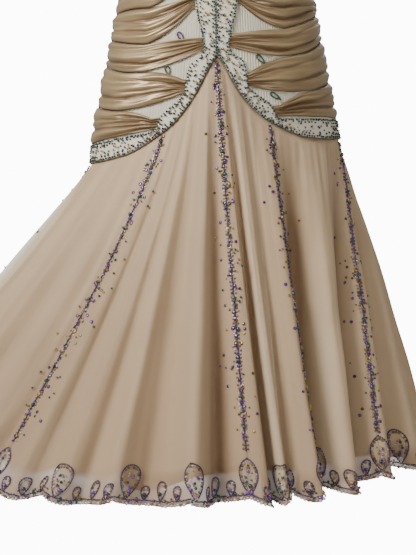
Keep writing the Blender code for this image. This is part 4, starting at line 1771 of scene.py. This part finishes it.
@dataclass
class SeamBeading:
    """A beaded line down each seam of the skirt, with sequins scattered beside it."""

    skirt: Skirt
    swept_seam: float = -7.0
    swept_back: float = 0.35
    ends_above: float = 0.047
    ring_gap: float = 0.0028
    ring_pitch: float = 0.0052
    stitch_pitch: float = 0.0030
    nearest: float = 0.0050
    spread: float = 0.0090

    def make(self) -> None:
        """Bead all eight seams, in one piece each."""
        seams = zip(self.skirt.seam_cloth[:-1], self.skirt.names)
        for number, (cloth, name) in enumerate(seams):
            if cloth == self.swept_seam:
                cloth, name = cloth - self.swept_back, self.skirt.names[number - 1]
            self.bead(cloth, name, 100 + number)

    def bead(self, cloth: float, name: str, seed: int) -> None:
        """Bead one seam.

        Args:
            cloth: the seam's cloth position.
            name: the gore that starts at the seam.
            seed: the scatter's seed.
        """
        form, draw = self.skirt.form, np.random.default_rng(seed)
        line = form.at(np.full(200, cloth), np.linspace(0, 1, 200))
        length = float(np.linalg.norm(np.diff(line, axis=0), axis=1).sum())
        last = 1.0 - self.ends_above / length
        work = BeadWork(f"seam_beads_{name}_{seed}")

        def sew(kind: Bead, down: Array, across: Array, width: float | Array,
                colours: Array | Colour) -> None:
            """Sew beads beside the seam.

            Args:
                kind: which bead.
                down: 0 at the hip line to 1 at the beading's end.
                across: distances from the seam in metres.
                width: the beads' width in metres.
                colours: one colour, or one for each bead.
            """
            down = down * last
            places, normals, run = form.sewn(np.full_like(down, cloth), down, across, SEWN_LIFT)
            work.sew(kind, places, normals, run, width, colours)

        stitches = int(length / self.stitch_pitch)
        down = 0.012 + 0.975 * (np.arange(stitches) + 0.5) / stitches
        sew(Bead.STITCH, down, draw.normal(0, 0.0003, stitches), self.stitch_pitch * 1.25, PLUM_THREAD)
        rings = int(length / self.ring_pitch)
        for edge in (-self.ring_gap, self.ring_gap):
            down = 0.014 + 0.97 * (np.arange(rings) + draw.random()) / rings
            sew(Bead.RING, down, edge + draw.normal(0, 0.0004, rings), 0.0030,
                pick(draw, (CLEAR, ROSE, OLIVE, THREAD, GREEN, PURPLE), rings))
        on_line = (
            # kind       beads size    off     colours
            (Bead.SEQUIN, 40, 0.0050, 0.0012, (PURPLE, VIOLET, PURPLE, VIOLET)),
            (Bead.SEQUIN, 18, 0.0042, 0.0024, (GOLD, OLIVE, BRONZE)),
            (Bead.RING, 8, 0.0070, 0.0008, (GOLD, GOLD, BRONZE)),
            (Bead.DOME, 14, 0.0046, 0.0014, (TEAL, GREEN, TEAL, DEEP)),
            (Bead.SEED, 50, 0.0026, 0.0032, (PLUM, OLIVE, GREEN, CLEAR, ROSE)),
        )
        for kind, count, width, off, colours in on_line:
            down = 0.015 + 0.96 * (np.arange(count) + draw.random(count)) / count
            sew(kind, down, draw.normal(0, off, count), width * draw.uniform(0.85, 1.15, count),
                pick(draw, colours, count))
        scattered = (
            # kind       beads size    colours
            (Bead.SEQUIN, 17, 0.0042, (PURPLE, VIOLET, PURPLE)),
            (Bead.SEQUIN, 20, 0.0036, (OLIVE, GOLD, OLIVE)),
            (Bead.DOME, 8, 0.0034, (TEAL, GREEN, DEEP)),
            (Bead.SEED, 22, 0.0028, (OLIVE, BRONZE, GREEN, PURPLE)),
        )
        for kind, count, width, colours in scattered:
            down = 0.05 + 0.92 * draw.random(count)
            aside = self.nearest + np.abs(draw.normal(0, self.spread, count)) * (0.6 + 0.7 * down)
            across = np.sign(draw.random(count) - 0.5) * aside
            sew(kind, down, across, width * draw.uniform(0.85, 1.15, count), pick(draw, colours, count))
        work.make(self.skirt.pieces[name])


@dataclass
class HemBeading:
    """A beaded scalloped edge with teardrops standing on it."""

    skirt: Skirt
    chain_above: float = 0.0058
    pearl_size: float = 0.0044
    pearl_pitch: float = 0.0044
    drop_pitch: float = 0.0245
    large_width: float = 0.0280
    large_height: float = 0.0400
    small_width: float = 0.0132
    small_height: float = 0.0190
    stand: float = 0.0060

    def __post_init__(self) -> None:
        """Measure the hem round, so that beads can be spaced by distance."""
        self.cloth = np.linspace(-HALF_ROUND, HALF_ROUND, 9601)
        edge = self.skirt.form.at(self.cloth, np.ones_like(self.cloth))
        self.run = distances(edge)

    def make(self) -> None:
        """Bead the hem of every gore."""
        for index, name in enumerate(self.skirt.names):
            ends = np.interp(self.skirt.seam_cloth[index:index + 2], self.cloth, self.run)
            self.bead(ends[0], ends[1], name, 300 + index)

    def place(self, along: Array, above: Array) -> tuple[Array, Array, Array]:
        """Places on the skirt near the hem.

        Args:
            along: distances round the hem from the centre back.
            above: distances above the edge.

        Returns:
            Places, outward normals and the way down the skirt.
        """
        cloth = np.interp(np.mod(along, self.run[-1]), self.run, self.cloth)
        step = 0.02
        rise = np.linalg.norm(self.skirt.form.at(cloth, np.full_like(cloth, 1.0))
                              - self.skirt.form.at(cloth, np.full_like(cloth, 1.0 - step)), axis=-1) / step
        return self.skirt.form.sewn(cloth, 1.0 - above / rise, np.zeros_like(cloth), SEWN_LIFT)

    def bead(self, start: float, end: float, name: str, seed: int) -> None:
        """Bead the hem of one gore.

        Args:
            start: distance round the hem of its first seam.
            end: distance of its other seam.
            name: the gore's name.
            seed: the draw's seed.
        """
        draw = np.random.default_rng(seed)
        work = BeadWork(f"hem_beads_{name}")

        def sew(kind: Bead, along: Array, above: Array, width: float | Array,
                colours: Array | Colour) -> None:
            """Sew beads at places above the hem."""
            places, normals, down = self.place(along, above)
            work.sew(kind, places, normals, np.cross(normals, down), width, colours)

        def even(pitch: float) -> Array:
            """Evenly spaced places along the gore's edge."""
            count = int((end - start) / pitch)
            return start + (np.arange(count) + 0.5) / count * (end - start)

        chain = even(0.0028)
        sew(Bead.STITCH, chain, self.chain_above + draw.normal(0, 0.0003, len(chain)), 0.0034, PLUM_THREAD)
        pearls = even(self.pearl_pitch)
        sew(Bead.DOME, pearls, draw.normal(0.0012, 0.0004, len(pearls)),
            self.pearl_size * draw.uniform(0.85, 1.1, len(pearls)),
            pick(draw, (CLEAR, ROSE, CLEAR, ROSE, PINK, BRONZE), len(pearls)))
        loose = int((end - start) / 0.0065)
        sew(Bead.SEED, start + draw.random(loose) * (end - start), draw.uniform(0.003, 0.011, loose),
            draw.uniform(0.0022, 0.0036, loose),
            pick(draw, (OLIVE, GREEN, GOLD, PURPLE, ROSE, OLIVE, TEAL), loose))
        dots = int((end - start) / 0.030)
        sew(Bead.DOME, start + draw.random(dots) * (end - start), draw.uniform(0.003, 0.009, dots), 0.0044,
            pick(draw, (VIOLET, DEEP, PURPLE, TEAL), dots))
        drops = 4 * max(1, round((end - start) / self.drop_pitch / 4))
        sizes = (1.0, 0.85, 1.15, 0.90)
        for number in range(drops):
            along = start + (end - start) * number / drops
            self.teardrop(work, along, number % 4 == 0, sizes[number % 4] * draw.uniform(0.93, 1.07), draw)
        work.make(self.skirt.pieces[name])

    def teardrop(self, work: BeadWork, centre: float, large: bool, scale: float,
                 draw: np.random.Generator) -> None:
        """Sew one teardrop with its point at the hem.

        Args:
            work: the beadwork it joins.
            centre: distance round the hem of its middle.
            large: whether it is a large one.
            scale: its share of full size.
            draw: the random draw.
        """
        width = (self.large_width if large else self.small_width) * scale
        height = (self.large_height if large else self.small_height) * scale
        tilt = draw.normal(0, 0.07)

        def outline(shrink: float, count: int) -> tuple[Array, Array]:
            """Evenly spaced places round the drop.

            Args:
                shrink: the outline's share of the drop's size.
                count: how many places.

            Returns:
                Distances across the drop and above its point.
            """
            turn = np.linspace(0, 2 * np.pi, 200)
            wide = np.sin(turn) * np.sin(turn / 2) ** 0.9 * width * 0.61
            tall = height * (0.5 - 0.5 * np.cos(turn))
            middle = height * 0.57
            wide, tall = wide * shrink, middle + (tall - middle) * shrink
            length = np.concatenate([[0], np.cumsum(np.hypot(np.diff(wide), np.diff(tall)))])
            spaced = np.linspace(0, length[-1], count, endpoint=False)
            return np.interp(spaced, length, wide), np.interp(spaced, length, tall)

        def sew(kind: Bead, wide: Array, tall: Array, size: float | Array, colours: Array | Colour) -> None:
            """Sew beads in the drop.

            Args:
                kind: which bead.
                wide: distances across the drop.
                tall: distances above its point.
                size: the beads' width in metres.
                colours: one colour, or one for each bead.
            """
            places, normals, run = self.place(centre + wide + tall * tilt, tall + self.stand)
            ahead = np.roll(places, -1, axis=0) - places
            along = ahead if kind is Bead.STITCH else run
            work.sew(kind, places, normals, along, size, colours)

        round_length = 2.45 * height
        stitches = int(round_length / 0.0027)
        wide, tall = outline(1.0, stitches)
        sew(Bead.STITCH, wide, tall, 0.0036, PLUM_THREAD)
        inner = int(round_length * 0.84 / 0.0038)
        wide, tall = outline(0.83 if large else 0.70, inner)
        sew(Bead.RING, wide, tall, 0.0035 if large else 0.0029,
            pick(draw, (CLEAR, OLIVE, ROSE, ROSE, THREAD), inner))
        if large:
            specks = 10
            turn, far = draw.random(specks) * 2 * np.pi, np.sqrt(draw.random(specks)) * 0.24
            sew(Bead.SEED, np.cos(turn) * far * width, height * 0.58 + np.sin(turn) * far * height, 0.0024,
                pick(draw, (GOLD, CLEAR, OLIVE, BRONZE, ROSE), specks))
            spots, levels = draw.normal(0, 0.0030, 4), np.array([0.24, 0.34, 0.47, 0.64])
            sew(Bead.DOME, spots, height * levels, np.array([0.0052, 0.0040, 0.0036, 0.0040]),
                pick(draw, (TEAL, DEEP, PURPLE, VIOLET), 4))
            sew(Bead.RING, np.zeros(1), np.array([height * 0.17]), 0.0050, GOLD)
        else:
            sew(Bead.DOME, np.zeros(1), np.array([height * 0.36]), 0.0048,
                pick(draw, (PURPLE, DEEP, GOLD, VIOLET), 1))


# Studio

@dataclass
class Studio:
    """Pale floor, soft light from the viewer's left and the photograph's view."""

    camera_place: tuple[float, float, float] = (-0.011, -1.45, -0.806)
    lens: float = 68.7
    floor_height: float = -1.50
    floor_radius: float = 1.55
    behind: float = 12.0
    behind_cloth: float = 2.0
    lamps = (
        # name        place               aims at             size  watts  spread
        ("key_light", (-1.80, -1.45, 0.85), (0.0, 0.0, -0.62), 1.1, 102.0, 180.0),
        ("fill_light", (1.2, -2.6, -1.25), (0.18, 0.0, -1.0), 1.4, 3.2, 48.0),
        ("back_light", (0.6, 2.6, 0.9), (0.0, 0.0, -0.70), 1.8, 14.0, 180.0),
    )

    def make(self) -> None:
        """Set the camera, the lamps, the world and the floor."""
        camera = bpy.data.cameras.new("view")
        camera.lens = self.lens
        camera.sensor_width = 36.0
        camera.sensor_fit = "AUTO"
        camera.clip_end = 100.0
        viewer = add_object("view", camera)
        viewer.location = self.camera_place
        viewer.rotation_euler = (math.pi / 2, 0.0, 0.0)
        bpy.context.scene.camera = viewer
        for name, place, aim, size, watts, spread in self.lamps:
            lamp = bpy.data.lights.new(name, "AREA")
            lamp.shape = "DISK"
            lamp.size = size
            lamp.energy = watts
            lamp.spread = math.radians(spread)
            holder = add_object(name, lamp)
            holder.location = place
            holder.rotation_euler = (Vector(aim) - Vector(place)).to_track_quat("-Z", "Y").to_euler()
        self._world()
        self._floor()

    def _world(self) -> None:
        """A white surround that lights softly."""
        world = bpy.data.worlds.new("studio")
        bpy.context.scene.world = world
        world.use_nodes = True
        tree = world.node_tree
        soft = tree.nodes["Background"]
        soft.inputs["Color"].default_value = (1.0, 0.98, 0.95, 1.0)
        soft.inputs["Strength"].default_value = 0.28
        seen = tree.nodes.new("ShaderNodeBackground")
        seen.inputs["Color"].default_value = (1.0, 1.0, 1.0, 1.0)
        rays = tree.nodes.new("ShaderNodeLightPath")
        strength = tree.nodes.new("ShaderNodeMapRange")
        strength.inputs["To Min"].default_value = self.behind
        strength.inputs["To Max"].default_value = self.behind_cloth
        tree.links.new(rays.outputs["Transparent Depth"], strength.inputs["Value"])
        tree.links.new(strength.outputs[0], seen.inputs["Strength"])
        choice = tree.nodes.new("ShaderNodeMixShader")
        tree.links.new(rays.outputs["Is Camera Ray"], choice.inputs[0])
        tree.links.new(soft.outputs[0], choice.inputs[1])
        tree.links.new(seen.outputs[0], choice.inputs[2])
        tree.links.new(choice.outputs[0], tree.nodes["World Output"].inputs["Surface"])

    def _floor(self) -> None:
        """A wide pale floor below the hem."""
        cut = bmesh.new()
        bmesh.ops.create_circle(cut, cap_ends=True, segments=96, radius=self.floor_radius)
        bmesh.ops.translate(cut, verts=cut.verts, vec=(0.0, 0.0, self.floor_height))
        mesh = bpy.data.meshes.new("floor")
        cut.to_mesh(mesh)
        cut.free()
        graph = Graph("pale_floor")
        graph.feed("Base Color", graph.mix(graph.noise(graph.object_place(), 3.0), (0.80, 0.80, 0.79),
                                           (0.84, 0.84, 0.83)))
        graph.feed("Roughness", 0.8)
        depth = graph.node("ShaderNodeLightPath", {}, {}, "Transparent Depth").clamped()
        dim = self.behind_cloth / self.behind
        graph.feed("Emission Color", graph.mix(depth, (1.0, 1.0, 1.0), (dim, dim, dim)))
        graph.feed("Emission Strength", self.behind - 0.6)
        mesh.materials.append(graph.material)
        floor = add_object("floor", mesh)
        floor.visible_diffuse = False
        floor.visible_glossy = False


def main() -> None:
    """Build the dress piece by piece."""
    logging.basicConfig(level=logging.INFO, format="%(name)s: %(message)s")
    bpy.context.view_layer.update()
    Studio().make()
    skirt = Skirt()
    skirt.make()
    Underskirt().make()
    panels = HipPanels()
    panels.make()
    PanelLoops().make(panels.fronts)
    Bodice().make()
    SatinBands().make()
    BeadedTrim().make()
    Straps().make()
    SeamBeading(skirt).make()
    HemBeading(skirt).make()


if __name__ == "__main__":
    main()
